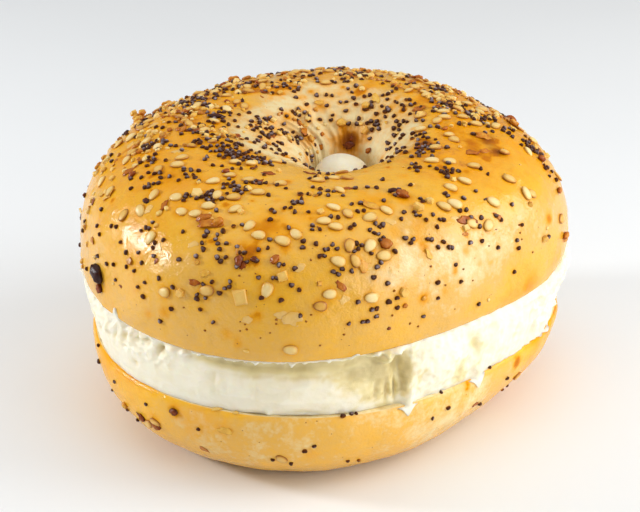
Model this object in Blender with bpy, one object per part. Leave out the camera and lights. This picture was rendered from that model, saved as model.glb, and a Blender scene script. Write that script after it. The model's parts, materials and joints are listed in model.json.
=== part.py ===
"""Seeded ring bagel, sliced level and filled with soft cheese.

Three solids in metres, +Z up: the puffed top half, the filling, which also rises in
the top half's hole, and the flat bottom half. The origin is under the middle of the
ring, on the surface that it rests on. The front is towards -Y.
"""

import math
import random

import bpy
from mathutils import Matrix, Vector, noise

MM = 0.001
CLEARANCE = 0.3 * MM         # between neighbouring solids
TO_ORIGIN = Vector((-1.1 * MM, 0.2 * MM, 0.0))   # brings the middle over the origin

# Top half: a high, puffed ring with its widest line a little above the cut
TOP_RADIUS = 57.5 * MM       # at the widest line
TOP_EDGE_RADIUS = 56.2 * MM  # at the cut
TOP_CUT_Z = 34.2 * MM
TOP_BELLY = 4.9 * MM         # height of the widest line above the cut
TOP_RISE = 31.9 * MM         # height of the crest above the cut
TOP_CREST_RADIUS = 26.8 * MM
TOP_SHOULDER = 2.4           # exponent of the outer arc, 2 is an ellipse
TOP_SHOULDER_WAVE = {1: (0.07, -0.20), 2: (-0.075, -0.133)}   # flatter at the back
TOP_SLOPE = 0.014            # the cut climbs to the right
TOP_PLAN = {1: (0.006, 0.0), 2: (-0.006, 0.047), 3: (0.014, 0.0), 4: (0.019, -0.007)}
TOP_HEIGHT_WAVE = {1: (-0.029, 0.074), 2: (0.012, 0.022)}   # the back is higher

# Hole of the top half: a funnel above a narrow throat, right of the middle
HOLE_SHIFT = Vector((5.0 * MM, 1.0 * MM))
THROAT_RADIUS = 7.6 * MM
THROAT_Z = 52.0 * MM
THROAT_FOOT_RADIUS = 8.4 * MM
FUNNEL_EXPONENT = 1.75
PLEAT_DEPTH = 0.9 * MM
PLEAT_COUNT = 12             # as if they ran right round
PLEAT_MIDDLE = math.radians(150)
PLEAT_REACH = math.radians(75)

# Bottom half: low, with a flat base and a hole that flares to the base
BOTTOM_RADIUS = 56.6 * MM
BOTTOM_EDGE_RADIUS = 55.6 * MM
BOTTOM_CUT_Z = 20.3 * MM
BOTTOM_BELLY = 1.7 * MM      # depth of the widest line below the cut
BASE_RADIUS = 38.6 * MM
BASE_SHIFT = Vector((-0.8 * MM, -0.7 * MM))   # from the middle of the widest line
BASE_HOLE_RADIUS = 19.0 * MM
BOTTOM_HOLE_RADIUS = 8.5 * MM
BOTTOM_HOLE_FLARE = 8.0 * MM
BOTTOM_SHOULDER = 1.87
BOTTOM_SLOPE = -0.028        # the cut falls to the right
BOTTOM_PLAN = {1: (-0.006, 0.0), 2: (-0.005, 0.037), 3: (0.043, 0.023), 4: (0.0, 0.018)}
BASE_PLAN = {2: (-0.03, 0.0)}            # the base reaches further to the front

# Filling: a thick spread layer with a dome that has come up the hole
FILLING_BULGE = 0.5 * MM
FILLING_RELIEF = 1.3 * MM
FILLING_RELIEF_SCALE = 150.0
FILLING_SAG = 2.0 * MM       # into the bottom half's hole
FILLING_SAG_RIM = 0.7        # share of the sag where its flat middle begins
FILLING_SAG_INSET = 0.35     # share of the way from the hole's edge to its middle
FILLING_INSET = 0.45 * MM    # between the dome and the throat round it
DOME_TOP_Z = 58.0 * MM
DOME_LIFTS = (30, 60)        # rings of the dome, in degrees above its foot

# Slow unevenness of the baked crust
LUMP_SHARE = 0.015
LUMP_SCALE = 48.0
LUMP_FADE = 6.0 * MM         # none at the cut faces

# Seeds and flakes that are large enough to stand out
SESAME_SIZE = Vector((3.4, 2.1, 1.15)) * MM
SESAME_TOP_COUNT = 119
SESAME_BOTTOM_COUNT = 9
SESAME_SPACING = 5.0 * MM
SESAME_SINK = 0.1            # share of a seed's thickness
SESAME_LEAST = 0.88          # smallest and largest seed, as shares of the size
SESAME_MOST = 1.08
SESAME_TOP_BAND = (1.15, 2.45)      # along the profile
SESAME_BOTTOM_BAND = (1.45, 1.8)
SEED_TAPER = 0.25            # how much one end is blunter
SEED_SEGMENTS = 6
SEED_RINGS = 4
RANDOM_SEED = 23

# Flakes of dried onion: half, angle in degrees, place along the profile, turn in
# degrees, length, width and thickness in millimetres
ONION_FLAKES = (
    ("top", 203, 1.07, 10, 5.0, 2.6, 1.7),
    ("top", 136, 1.42, 30, 5.2, 3.0, 1.2),
    ("top", 245, 1.30, 20, 5.0, 4.0, 1.1),
    ("top", 255, 1.72, 60, 4.4, 3.2, 1.2),
    ("top", 290, 1.42, 15, 5.0, 3.4, 1.1),
    ("top", 327, 1.52, 75, 5.4, 3.6, 1.2),
    ("top", 20, 1.55, 40, 5.6, 3.4, 1.2),
    ("top", 48, 1.45, 110, 5.0, 3.2, 1.2),
    ("top", 72, 1.60, 25, 5.4, 3.4, 1.2),
    ("top", 100, 1.50, 80, 4.8, 3.2, 1.2),
    ("bottom", 240, 1.62, 5, 4.4, 2.4, 1.2),
    ("bottom", 226, 1.66, 30, 3.8, 2.6, 1.2),
)

# Corners of a flake, and its three outlines: height and size as shares
FLAKE_OUTLINE = ((-0.5, -0.2), (-0.2, -0.5), (0.35, -0.4), (0.5, 0.1), (0.15, 0.5), (-0.35, 0.4))
FLAKE_LEVELS = ((-0.5, 0.85), (0.2, 1.0), (0.5, 0.8))

# Mesh steps: round the ring, along each stretch of a profile, and up the filling's side
AROUND = 64
TOP_STEPS = (3, 9, 7, 2, 2)
BOTTOM_STEPS = (2, 7, 2, 2, 1, 4)
FILLING_AROUND = 84
FILLING_STEPS = 6
SMOOTH_ANGLE = math.radians(40)

# Colour, roughness and subsurface weight of each solid
CRUST_FINISH = ((0.72, 0.40, 0.13, 1.0), 0.45, 0.1)
BASE_CRUST_FINISH = ((0.78, 0.50, 0.20, 1.0), 0.5, 0.1)
FILLING_FINISH = ((0.93, 0.88, 0.74, 1.0), 0.4, 0.4)


def wave(angle, harmonics):
    """Sum of cosine and sine shares at an angle."""
    total = 0.0
    for order, (cosine, sine) in harmonics.items():
        total += cosine * math.cos(order * angle) + sine * math.sin(order * angle)
    return total


def arc(start, end, share, exponent):
    """Point on a quarter superellipse that starts upright and ends level."""
    turn = share * math.pi / 2
    across = max(math.cos(turn), 0.0) ** (2 / exponent)
    along = max(math.sin(turn), 0.0) ** (2 / exponent)
    radius = end[0] + (start[0] - end[0]) * across
    height = start[1] + (end[1] - start[1]) * along
    return radius, height


def line(start, end, share):
    """Point on a straight stretch of a profile."""
    return (start[0] + (end[0] - start[0]) * share,
            start[1] + (end[1] - start[1]) * share)


def top_profile(angle, place):
    """Profile of the top half: 0 cut edge, 1 widest, 2 crest, 3 throat, 4 foot."""
    edge = (TOP_EDGE_RADIUS, TOP_CUT_Z)
    widest = (TOP_RADIUS, TOP_CUT_Z + TOP_BELLY)
    crest = (TOP_CREST_RADIUS, TOP_CUT_Z + TOP_RISE)
    throat = (THROAT_RADIUS, THROAT_Z)
    foot = (THROAT_FOOT_RADIUS, TOP_CUT_Z)
    if place <= 1:
        return arc(widest, edge, 1 - place, 2)
    if place <= 2:
        shoulder = TOP_SHOULDER + wave(angle, TOP_SHOULDER_WAVE)
        return arc(widest, crest, place - 1, shoulder)
    if place <= 3:
        return arc(throat, crest, 3 - place, FUNNEL_EXPONENT)
    if place <= 4:
        return line(throat, foot, place - 3)
    return line(foot, edge, place - 4)


def bottom_profile(place):
    """Mean profile of the bottom half: 0 base, 1 base rim, 2 widest, 3 cut edge."""
    inner_base = (BASE_HOLE_RADIUS, 0.0)
    outer_base = (BASE_RADIUS, 0.0)
    widest = (BOTTOM_RADIUS, BOTTOM_CUT_Z - BOTTOM_BELLY)
    edge = (BOTTOM_EDGE_RADIUS, BOTTOM_CUT_Z)
    hole_top = (BOTTOM_HOLE_RADIUS, BOTTOM_CUT_Z)
    hole_foot = (BOTTOM_HOLE_RADIUS, BOTTOM_HOLE_FLARE)
    if place <= 1:
        return line(inner_base, outer_base, place)
    if place <= 2:
        return arc(widest, outer_base, 2 - place, BOTTOM_SHOULDER)
    if place <= 3:
        return arc(widest, edge, place - 2, 2)
    if place <= 4:
        return line(edge, hole_top, place - 3)
    if place <= 5:
        return line(hole_top, hole_foot, place - 4)
    return arc(hole_foot, inner_base, place - 5, 2)


def lump(point, fade):
    """Slow swelling of the crust about its mean surface."""
    return 1 + LUMP_SHARE * fade * noise.noise(point * LUMP_SCALE)


def pleat(angle):
    """Depth of the folds in the funnel, strongest at its left and back."""
    offset = (angle - PLEAT_MIDDLE + math.pi) % (2 * math.pi) - math.pi
    strength = max(0.0, math.cos(offset / PLEAT_REACH * math.pi / 2))
    if abs(offset) > PLEAT_REACH:
        strength = 0.0
    fold = math.sin(angle * PLEAT_COUNT + 1.5 * math.sin(3 * angle))
    return PLEAT_DEPTH * strength * fold


def top_point(angle, place):
    """Point of the top half's surface."""
    radius, height = top_profile(angle, place)
    inward = (TOP_CREST_RADIUS - radius) / (TOP_CREST_RADIUS - THROAT_RADIUS)
    hole_share = min(max(inward, 0.0), 1.0)
    above = height - TOP_CUT_Z
    fade = min(above / LUMP_FADE, 1.0)
    if 2 < place < 3:
        radius += pleat(angle) * math.sin(math.pi * (place - 2))
    radius *= 1 + wave(angle, TOP_PLAN)
    above *= 1 + wave(angle, TOP_HEIGHT_WAVE)
    direction = Vector((math.cos(angle), math.sin(angle), 0.0))
    swell = lump(direction * radius + Vector((0.0, 0.0, above)), fade)
    radius *= 1 + (swell - 1) * (1 - hole_share)
    above *= swell
    point = direction * radius
    point.x += HOLE_SHIFT.x * hole_share
    point.y += HOLE_SHIFT.y * hole_share
    point.z = TOP_CUT_Z + above + TOP_SLOPE * point.x
    return point


def bottom_point(angle, place):
    """Point of the bottom half's surface."""
    radius, height = bottom_profile(place)
    rise = height / BOTTOM_CUT_Z
    radius *= 1 + wave(angle, BOTTOM_PLAN) + wave(angle, BASE_PLAN) * (1 - rise)
    fade = max(0.0, min(rise, (1 - rise) * BOTTOM_CUT_Z / LUMP_FADE, 1.0))
    direction = Vector((math.cos(angle), math.sin(angle), 0.0))
    radius *= lump(direction * radius + Vector((0.0, 0.0, height)), fade)
    point = direction * radius
    point.z = height + BOTTOM_SLOPE * point.x * rise
    point.x += BASE_SHIFT.x * (1 - rise)
    point.y += BASE_SHIFT.y * (1 - rise)
    return point


def surface_frame(surface, angle, place):
    """Point, outward normal and tangent of a half at an angle and a place."""
    step = 0.004
    point = surface(angle, place)
    around = surface(angle + step, place) - surface(angle - step, place)
    along = surface(angle, place + step) - surface(angle, place - step)
    normal = around.cross(along).normalized()
    return point, normal, around.normalized()


def ring_rows(surface, places):
    """Rings of points of a half, one ring for each place."""
    angles = [2 * math.pi * step / AROUND for step in range(AROUND)]
    return [[surface(angle, place) for angle in angles] for place in places]


def places_along(steps):
    """Places along a profile, with a number of even steps in each stretch."""
    return [number + step / count for number, count in enumerate(steps) for step in range(count)]


def mesh_from_rows(name, rows, closed):
    """Mesh of rings: closed joins the last to the first, else each end is a pole."""
    points = []
    starts = []
    for row in rows:
        starts.append(len(points))
        points.extend(row)
    faces = []
    pairs = list(zip(range(len(rows) - 1), range(1, len(rows))))
    if closed:
        pairs.append((len(rows) - 1, 0))
    for low, high in pairs:
        low_count = len(rows[low])
        high_count = len(rows[high])
        for step in range(max(low_count, high_count)):
            corners = [
                starts[low] + step % low_count,
                starts[low] + (step + 1) % low_count,
                starts[high] + (step + 1) % high_count,
                starts[high] + step % high_count,
            ]
            corners = list(dict.fromkeys(corners))
            faces.append(corners)
    mesh = bpy.data.meshes.new(name)
    mesh.from_pydata([tuple(point) for point in points], [], faces)
    mesh.validate()
    return mesh


def material(name, finish_values):
    """Principled material of one solid."""
    colour, roughness, subsurface = finish_values
    finish = bpy.data.materials.new(name)
    finish.use_nodes = True
    shader = finish.node_tree.nodes["Principled BSDF"]
    shader.inputs["Base Color"].default_value = colour
    shader.inputs["Roughness"].default_value = roughness
    shader.inputs["Metallic"].default_value = 0.0
    shader.inputs["Subsurface Weight"].default_value = subsurface
    finish.diffuse_color = colour
    return finish


def add_object(name, mesh, finish):
    """Object of a mesh in the scene, with its material."""
    mesh.materials.clear()
    mesh.materials.append(finish)
    mesh.transform(Matrix.Translation(TO_ORIGIN))
    thing = bpy.data.objects.new(name, mesh)
    bpy.context.scene.collection.objects.link(thing)
    return thing


def shade_round(thing):
    """Smooth shading, with the cut edges kept sharp."""
    thing.data.shade_smooth()
    thing.data.set_sharp_from_angle(angle=SMOOTH_ANGLE)


def placement(surface, angle, place, turn, sink):
    """Matrix that lays a piece on a half, its middle sunk below the surface."""
    point, normal, tangent = surface_frame(surface, angle, place)
    side = normal.cross(tangent)
    turned = tangent * math.cos(turn) + side * math.sin(turn)
    across = normal.cross(turned)
    frame = Matrix((turned, across, normal)).transposed().to_4x4()
    frame.translation = point - normal * sink
    return frame


def seed_mesh(name, size):
    """Low ellipsoid with a blunt and a pointed end, its length along X."""
    rows = []
    for ring in range(SEED_RINGS + 1):
        lift = math.pi * ring / SEED_RINGS
        if ring in (0, SEED_RINGS):
            rows.append([Vector((-math.cos(lift) * size.x / 2, 0.0, 0.0))])
            continue
        taper = math.sin(lift) * (1.0 + SEED_TAPER * math.cos(lift))
        row = []
        for step in range(SEED_SEGMENTS):
            turn = 2 * math.pi * step / SEED_SEGMENTS
            row.append(Vector((
                -math.cos(lift) * size.x / 2,
                math.cos(turn) * taper * size.y / 2,
                math.sin(turn) * taper * size.z / 2)))
        rows.append(row)
    return mesh_from_rows(name, rows, closed=False)


def flake_mesh(name, length, width, thickness):
    """Thin plate with a six-sided, uneven outline."""
    rows = []
    for height, shrink in FLAKE_LEVELS:
        rows.append([
            Vector((x * length * shrink, y * width * shrink, height * thickness))
            for x, y in FLAKE_OUTLINE])
    foot = Vector((0.0, 0.0, -0.5 * thickness))
    crown = Vector((0.0, 0.0, 0.5 * thickness))
    return mesh_from_rows(name, [[foot], *rows, [crown]], closed=False)


def sesame_places(surface, count, band, draw):
    """Spots for seeds, far enough apart, in a band of the profile."""
    spots = []
    points = []
    while len(spots) < count:
        angle = draw.uniform(0.0, 2 * math.pi)
        place = draw.uniform(*band)
        point = surface(angle, place)
        if draw.random() > math.hypot(point.x, point.y) / TOP_RADIUS:
            continue
        if any((point - other).length < SESAME_SPACING for other in points):
            continue
        points.append(point)
        spots.append((angle, place))
    return spots


def toppings(half, surface, count, band, draw):
    """Seeds and flakes of one half, as objects in a collection of their own."""
    group = bpy.data.collections.new(half + "_toppings")
    taken = []
    for name, degrees, place, turn, length, width, thickness in ONION_FLAKES:
        if name != half:
            continue
        mesh = flake_mesh("onion_flake", length * MM, width * MM, thickness * MM)
        spot = placement(surface, math.radians(degrees), place, math.radians(turn), 0.0)
        mesh.transform(spot)
        taken.append(spot.translation.copy())
        group.objects.link(bpy.data.objects.new("onion_flake", mesh))
    for angle, place in sesame_places(surface, count, band, draw):
        turn = draw.uniform(0.0, math.pi)
        size = SESAME_SIZE * draw.uniform(SESAME_LEAST, SESAME_MOST)
        spot = placement(surface, angle, place, turn, SESAME_SINK * size.z)
        if any((spot.translation - other).length < SESAME_SPACING for other in taken):
            continue
        mesh = seed_mesh("sesame", size)
        mesh.transform(spot)
        group.objects.link(bpy.data.objects.new("sesame", mesh))
    return group


def fuse(body, group):
    """One union of a half with its toppings, which are then removed."""
    bpy.context.scene.collection.children.link(group)
    union = body.modifiers.new("toppings", "BOOLEAN")
    union.operation = "UNION"
    union.operand_type = "COLLECTION"
    union.collection = group
    union.solver = "EXACT"
    finish = body.data.materials[0]
    for piece in group.objects:
        piece.data.transform(Matrix.Translation(TO_ORIGIN))
    shaped = body.evaluated_get(bpy.context.evaluated_depsgraph_get())
    joined = bpy.data.meshes.new_from_object(shaped)
    joined.name = body.name
    body.modifiers.remove(union)
    body.data = joined
    joined.materials.clear()
    joined.materials.append(finish)
    for piece in list(group.objects):
        bpy.data.objects.remove(piece)
    bpy.data.collections.remove(group)


def make_top():
    """Top half with its hole, pleats, seeds and flakes."""
    rows = ring_rows(top_point, places_along(TOP_STEPS))
    mesh = mesh_from_rows("bagel_top", rows, closed=True)
    half = add_object("bagel_top", mesh, material("crust_top", CRUST_FINISH))
    draw = random.Random(RANDOM_SEED)
    fuse(half, toppings("top", top_point, SESAME_TOP_COUNT, SESAME_TOP_BAND, draw))
    shade_round(half)


def make_bottom():
    """Bottom half with its flat base, hole and a few seeds."""
    rows = ring_rows(bottom_point, places_along(BOTTOM_STEPS))
    mesh = mesh_from_rows("bagel_bottom", rows, closed=True)
    half = add_object("bagel_bottom", mesh, material("crust_bottom", BASE_CRUST_FINISH))
    draw = random.Random(RANDOM_SEED + 1)
    fuse(half, toppings("bottom", bottom_point, SESAME_BOTTOM_COUNT, SESAME_BOTTOM_BAND, draw))
    shade_round(half)


def filling_side(angle, share):
    """Point of the filling's side, from the lower cut to the upper cut."""
    low = bottom_point(angle, 3.0)
    high = top_point(angle, 0.0)
    low.z += CLEARANCE
    high.z -= CLEARANCE
    point = low.lerp(high, share)
    bulge = FILLING_BULGE * math.sin(math.pi * share)
    relief = FILLING_RELIEF * noise.noise(point * FILLING_RELIEF_SCALE)
    outward = Vector((math.cos(angle), math.sin(angle), 0.0))
    return point + outward * (bulge + relief)


def make_filling():
    """Spread layer between the halves, with its dome up the top half's hole."""
    angles = [2 * math.pi * step / FILLING_AROUND for step in range(FILLING_AROUND)]

    def flat_row(surface, place, share, clear):
        row = []
        for angle in angles:
            point = surface(angle, place).lerp(surface(angle, place + 1), share)
            point.z += clear
            row.append(point)
        return row

    def inside_row(surface, place, lift):
        row = []
        for angle in angles:
            point = surface(angle, place)
            point.x -= math.cos(angle) * FILLING_INSET
            point.y -= math.sin(angle) * FILLING_INSET
            point.z += lift
            row.append(point)
        return row

    sag_foot = Vector((0.0, 0.0, BOTTOM_CUT_Z - FILLING_SAG))
    rows = [[sag_foot]]
    shoulder = inside_row(bottom_point, 4.0, 0.0)
    rows.append([point.lerp(sag_foot, FILLING_SAG_INSET) for point in shoulder])
    for point in rows[-1]:
        point.z = BOTTOM_CUT_Z - FILLING_SAG_RIM * FILLING_SAG
    rows.append(inside_row(bottom_point, 4.0, CLEARANCE))
    rows.append(flat_row(bottom_point, 3.0, 0.5, CLEARANCE))
    for step in range(FILLING_STEPS + 1):
        rows.append([filling_side(angle, step / FILLING_STEPS) for angle in angles])
    rows.append(flat_row(top_point, 4.0, 0.5, -CLEARANCE))
    rows.append(inside_row(top_point, 4.0, -CLEARANCE))
    throat = inside_row(top_point, 3.0, 0.0)
    rows.append(throat)
    dome_foot = sum((point.z for point in throat)) / len(throat)
    middle = Vector((HOLE_SHIFT.x, HOLE_SHIFT.y, DOME_TOP_Z))
    for lift in DOME_LIFTS:
        turn = math.radians(lift)
        row = []
        for point in throat:
            spot = middle.lerp(point, math.cos(turn))
            spot.z = dome_foot + (DOME_TOP_Z - dome_foot) * math.sin(turn)
            row.append(spot)
        rows.append(row)
    rows.append([middle])
    mesh = mesh_from_rows("soft_filling", rows, closed=False)
    filling = add_object("soft_filling", mesh, material("soft_filling", FILLING_FINISH))
    shade_round(filling)


def main():
    """Clears the scene and makes the three solids."""
    for old in list(bpy.data.objects):
        bpy.data.objects.remove(old)
    make_bottom()
    make_filling()
    make_top()


main()
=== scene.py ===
"""Looks of a seeded bagel sandwich: two baked crusts, soft cheese, seeds and flakes.

Metres, +Z up, front towards -Y, origin under the middle on the surface it rests on.
A spot on a crust is given by its angle round the ring in degrees, from +X and
counter-clockwise, and its place along the profile, a whole number at each corner.
"""

import json
import math

import bpy
import numpy as np
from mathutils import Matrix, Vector, noise
from mathutils.kdtree import KDTree

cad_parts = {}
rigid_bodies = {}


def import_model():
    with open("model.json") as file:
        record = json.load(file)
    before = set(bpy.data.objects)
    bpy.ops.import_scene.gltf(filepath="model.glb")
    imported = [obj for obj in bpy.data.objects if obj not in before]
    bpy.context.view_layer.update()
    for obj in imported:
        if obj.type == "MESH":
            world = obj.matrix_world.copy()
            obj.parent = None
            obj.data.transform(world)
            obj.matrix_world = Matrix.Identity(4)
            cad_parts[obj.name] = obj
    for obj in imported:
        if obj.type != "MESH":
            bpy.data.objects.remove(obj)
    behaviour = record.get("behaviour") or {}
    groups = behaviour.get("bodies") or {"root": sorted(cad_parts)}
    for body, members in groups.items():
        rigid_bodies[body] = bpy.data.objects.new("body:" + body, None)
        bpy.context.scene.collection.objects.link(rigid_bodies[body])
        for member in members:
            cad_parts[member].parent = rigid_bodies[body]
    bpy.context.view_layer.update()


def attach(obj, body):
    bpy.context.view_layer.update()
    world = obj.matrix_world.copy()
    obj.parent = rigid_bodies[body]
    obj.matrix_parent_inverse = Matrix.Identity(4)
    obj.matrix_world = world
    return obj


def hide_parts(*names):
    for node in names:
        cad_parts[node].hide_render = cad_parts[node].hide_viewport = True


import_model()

bl_info = {
    "name": "Bagel sandwich looks",
    "version": (1, 0, 0),
    "blender": (4, 5, 0),
    "location": "3D View > Sidebar > Bagel",
    "description": "Crusts, cheese, seeds and flakes of a filled bagel, with a plain stage",
    "category": "Object",
}

MM = 0.001
BODY = "root"

# Top half, the same form as its solid
CLEARANCE = 0.3 * MM
TO_ORIGIN = np.array((-1.1, 0.2, 0.0)) * MM
TOP_RADIUS = 57.5 * MM
TOP_EDGE_RADIUS = 56.2 * MM
TOP_CUT_Z = 34.2 * MM
TOP_BELLY = 4.9 * MM
TOP_RISE = 31.9 * MM
TOP_CREST_RADIUS = 26.8 * MM
TOP_SHOULDER = 2.4
TOP_SHOULDER_WAVE = {1: (0.07, -0.20), 2: (-0.075, -0.133)}
TOP_SLOPE = 0.014
TOP_PLAN = {1: (0.006, 0.0), 2: (-0.006, 0.047), 3: (0.014, 0.0), 4: (0.019, -0.007)}
TOP_HEIGHT_WAVE = {1: (-0.029, 0.074), 2: (0.012, 0.022)}
HOLE_SHIFT = (5.0 * MM, 1.0 * MM)
THROAT_RADIUS = 7.6 * MM
THROAT_Z = 52.0 * MM
THROAT_FOOT_RADIUS = 8.4 * MM
FUNNEL_EXPONENT = 1.75
PLEAT_DEPTH = 0.9 * MM
PLEAT_COUNT = 12
PLEAT_MIDDLE = math.radians(150)
PLEAT_REACH = math.radians(75)

# Bottom half, the same form as its solid
BOTTOM_RADIUS = 56.6 * MM
BOTTOM_EDGE_RADIUS = 55.6 * MM
BOTTOM_CUT_Z = 20.3 * MM
BOTTOM_BELLY = 1.7 * MM
BASE_RADIUS = 38.6 * MM
BASE_SHIFT = (-0.8 * MM, -0.7 * MM)
BASE_HOLE_RADIUS = 19.0 * MM
BOTTOM_HOLE_RADIUS = 8.5 * MM
BOTTOM_HOLE_FLARE = 8.0 * MM
BOTTOM_SHOULDER = 1.87
BOTTOM_SLOPE = -0.028
BOTTOM_PLAN = {1: (-0.006, 0.0), 2: (-0.005, 0.037), 3: (0.043, 0.023), 4: (0.0, 0.018)}
BASE_PLAN = {2: (-0.03, 0.0)}

# Slow unevenness of both crusts
LUMP_SHARE = 0.015
LUMP_SIZE = 1.0 / 48.0
LUMP_FADE = 6.0 * MM

# Cheese in the hole and under it
DOME_TOP_Z = 58.0 * MM
FILLING_SAG = 2.0 * MM

# Steps of the fine meshes: round the ring, and along each stretch of a profile
TOP_AROUND = 560
TOP_STEPS = (10, 78, 46, 8, 6)
BOTTOM_AROUND = 560
BOTTOM_STEPS = (8, 44, 10, 16, 4, 14)
FILLING_AROUND = 1000
FILLING_STEPS = 74

# Random tries for places on a crust, of which the wanted number is drawn
TRIES = 40000
PER_SQUARE_CM = 1e4
DRIFT_EXTRA = 1.25

# Stage
AIM = Vector((-1.1 * MM, 0.2 * MM, 25.0 * MM))
LIGHT_AIM = Vector((0.0, 0.0, 0.035))
SENSOR_WIDTH = 36.0
FLOOR_REACH = 3.0
# Lights: name, azimuth and elevation in degrees, distance, sides in metres, the
# setting with its power, colour
LIGHTS = (
    ("right_light", (86, 28), 0.6, (0.40, 0.46), "key_power", (1.0, 0.99, 0.97)),
    ("near_light", (48, 16), 0.6, (0.36, 0.30), "near_power", (1.0, 0.99, 0.96)),
    ("left_light", (-93, 20), 0.6, (0.09, 0.09), "side_power", (0.97, 0.985, 1.0)),
    ("top_light", (0, 89), 0.7, (1.0, 1.0), "top_power", (1.0, 0.99, 0.97)),
)

UPRIGHT = np.array((0.0, 0.0, 1.0))
LEVEL = np.array((1.0, 1.0, 0.0))


def srgb(red, green, blue):
    """Linear colour of the 0 to 255 values that a picture shows."""
    shares = np.array((red, green, blue)) / 255
    linear = np.where(shares <= 0.04045, shares / 12.92, ((shares + 0.055) / 1.055) ** 2.4)
    return tuple(float(value) for value in linear)


# Deep amber smears on the top crust: angle, place, reach in mm, strength
TOP_STAINS = (
    (258, 1.63, 3.6, 0.75), (255, 1.66, 3.0, 0.5), (254, 1.46, 2.6, 0.95),
    (252, 1.50, 1.8, 0.6), (269, 1.75, 2.6, 0.55), (265, 1.72, 2.4, 0.35),
    (173, 1.90, 4.6, 0.8), (166, 1.84, 3.0, 0.5), (242, 1.58, 2.8, 0.6),
    (190, 1.59, 3.2, 0.45), (206, 1.29, 2.4, 0.35), (219, 1.74, 4.2, 0.5),
    (359, 1.94, 4.0, 0.65), (354, 1.81, 3.6, 0.6), (341, 1.84, 3.6, 0.6),
    (298, 1.77, 2.6, 0.7), (290, 1.80, 3.0, 0.5), (285, 1.81, 2.6, 0.5),
    (26, 2.01, 3.4, 0.6), (40, 1.95, 3.6, 0.55), (62, 2.02, 3.6, 0.45),
    (236, 1.05, 1.5, 0.6), (256, 1.10, 1.0, 0.65), (251, 1.02, 1.3, 0.5),
    (288, 1.16, 1.2, 0.6), (300, 1.10, 1.0, 0.5), (308, 1.28, 1.3, 0.6),
    (338, 2.04, 3.4, 0.6), (327, 1.90, 3.0, 0.4), (129, 1.95, 4.0, 0.5),
    (111, 2.05, 4.0, 0.55), (88, 1.96, 4.4, 0.45), (148, 1.98, 4.0, 0.5),
    (196, 1.95, 3.6, 0.5), (203, 1.72, 3.2, 0.45), (232, 1.62, 2.8, 0.35),
    (330, 0.95, 3.0, 0.3), (345, 1.02, 3.6, 0.35), (212, 1.02, 2.8, 0.35),
    (140, 1.50, 4.2, 0.5), (110, 1.45, 5.0, 0.4), (75, 1.62, 4.4, 0.5),
    (50, 1.50, 4.4, 0.45), (25, 1.42, 4.6, 0.5), (92, 1.20, 3.6, 0.4),
    (134, 2.66, 1.8, 0.7), (84, 2.57, 1.6, 0.6), (98, 2.35, 1.6, 0.5),
    (257.5, 1.12, 1.0, 0.8), (231.5, 1.02, 1.1, 0.6), (253.3, 1.00, 1.2, 0.6), (294, 1.10, 1.2, 0.8),
    (289, 1.09, 1.0, 0.8), (296.5, 1.39, 1.4, 0.7), (275, 1.19, 1.2, 0.6), (262, 1.50, 1.4, 0.7),
    (297.2, 1.54, 2.0, 0.5), (295.2, 1.45, 1.6, 0.5), (290.2, 1.54, 1.6, 0.4), (309.8, 1.37, 0.8, 0.8),
    (303.5, 1.18, 1.0, 0.7), (312, 1.17, 0.9, 0.35), (315.5, 1.15, 0.9, 0.35), (330, 0.58, 3.0, 0.6),
    (347.8, 1.84, 3.0, 0.7), (343.2, 1.80, 2.6, 0.7), (351.8, 1.90, 2.6, 0.6), (28, 1.97, 3.2, 0.6),
    (19.2, 1.95, 2.6, 0.5), (347.5, 1.71, 2.5, 0.5), (178.5, 1.94, 3.4, 0.6), (196.5, 1.78, 3.0, 0.5),
    (191, 1.59, 3.0, 0.55), (216.5, 1.72, 2.6, 0.5), (121, 2.05, 3.0, 0.5), (76, 2.76, 4.0, 0.95),
    (353, 1.80, 2.2, 0.9), (347, 1.74, 1.7, 0.9), (340, 2.05, 1.9, 0.8), (328.7, 2.22, 1.3, 0.8),
    (29, 1.88, 2.1, 0.9), (21.5, 2.14, 1.5, 0.8), (335, 1.79, 1.9, 0.6), (12, 1.62, 2.4, 0.8),
    (5, 1.48, 2.6, 0.8), (45, 1.72, 2.4, 0.8), (355, 1.42, 2.4, 0.6),
)
# Burnt places: angle, place, reach in mm, strength
TOP_SCORCHES = (
    (76, 2.77, 2.3, 1.0), (71, 2.70, 1.4, 0.9), (252, 1.40, 1.2, 0.55),
    (240, 1.57, 1.2, 0.35), (209, 1.00, 1.8, 0.45), (337, 2.04, 1.8, 0.4),
    (298, 1.79, 1.1, 0.5), (173, 2.05, 1.8, 0.5), (19, 1.55, 2.0, 0.4),
    (353, 1.80, 1.9, 0.8), (340, 2.05, 1.7, 0.7), (29, 1.88, 1.8, 0.75), (2, 1.50, 2.2, 0.75),
    (347, 1.73, 1.7, 0.75), (20, 2.12, 1.5, 0.7), (55, 1.80, 1.9, 0.7), (12, 1.62, 2.0, 0.7),
)
BOTTOM_STAINS = (
    (238, 1.95, 1.8, 0.8), (232, 1.80, 2.0, 0.6), (244, 1.90, 4.0, 0.35),
    (331.8, 1.95, 1.7, 1.0), (342, 2.1, 2.6, 0.6), (349, 2.5, 3.4, 0.7),
    (250, 1.91, 1.6, 0.35), (212, 2.3, 5.0, 0.5), (203, 1.9, 4.0, 0.35),
    (310, 2.48, 1.0, 0.9), (309.5, 2.0, 0.8, 0.9), (268, 1.72, 1.8, 0.3),
    (20, 2.0, 4.0, 0.5), (60, 1.9, 4.0, 0.4), (100, 2.1, 4.0, 0.45), (150, 2.0, 4.0, 0.5),
)
BOTTOM_SCORCHES = ((238, 1.95, 0.7, 0.6), (232, 1.74, 0.9, 0.5))

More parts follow.
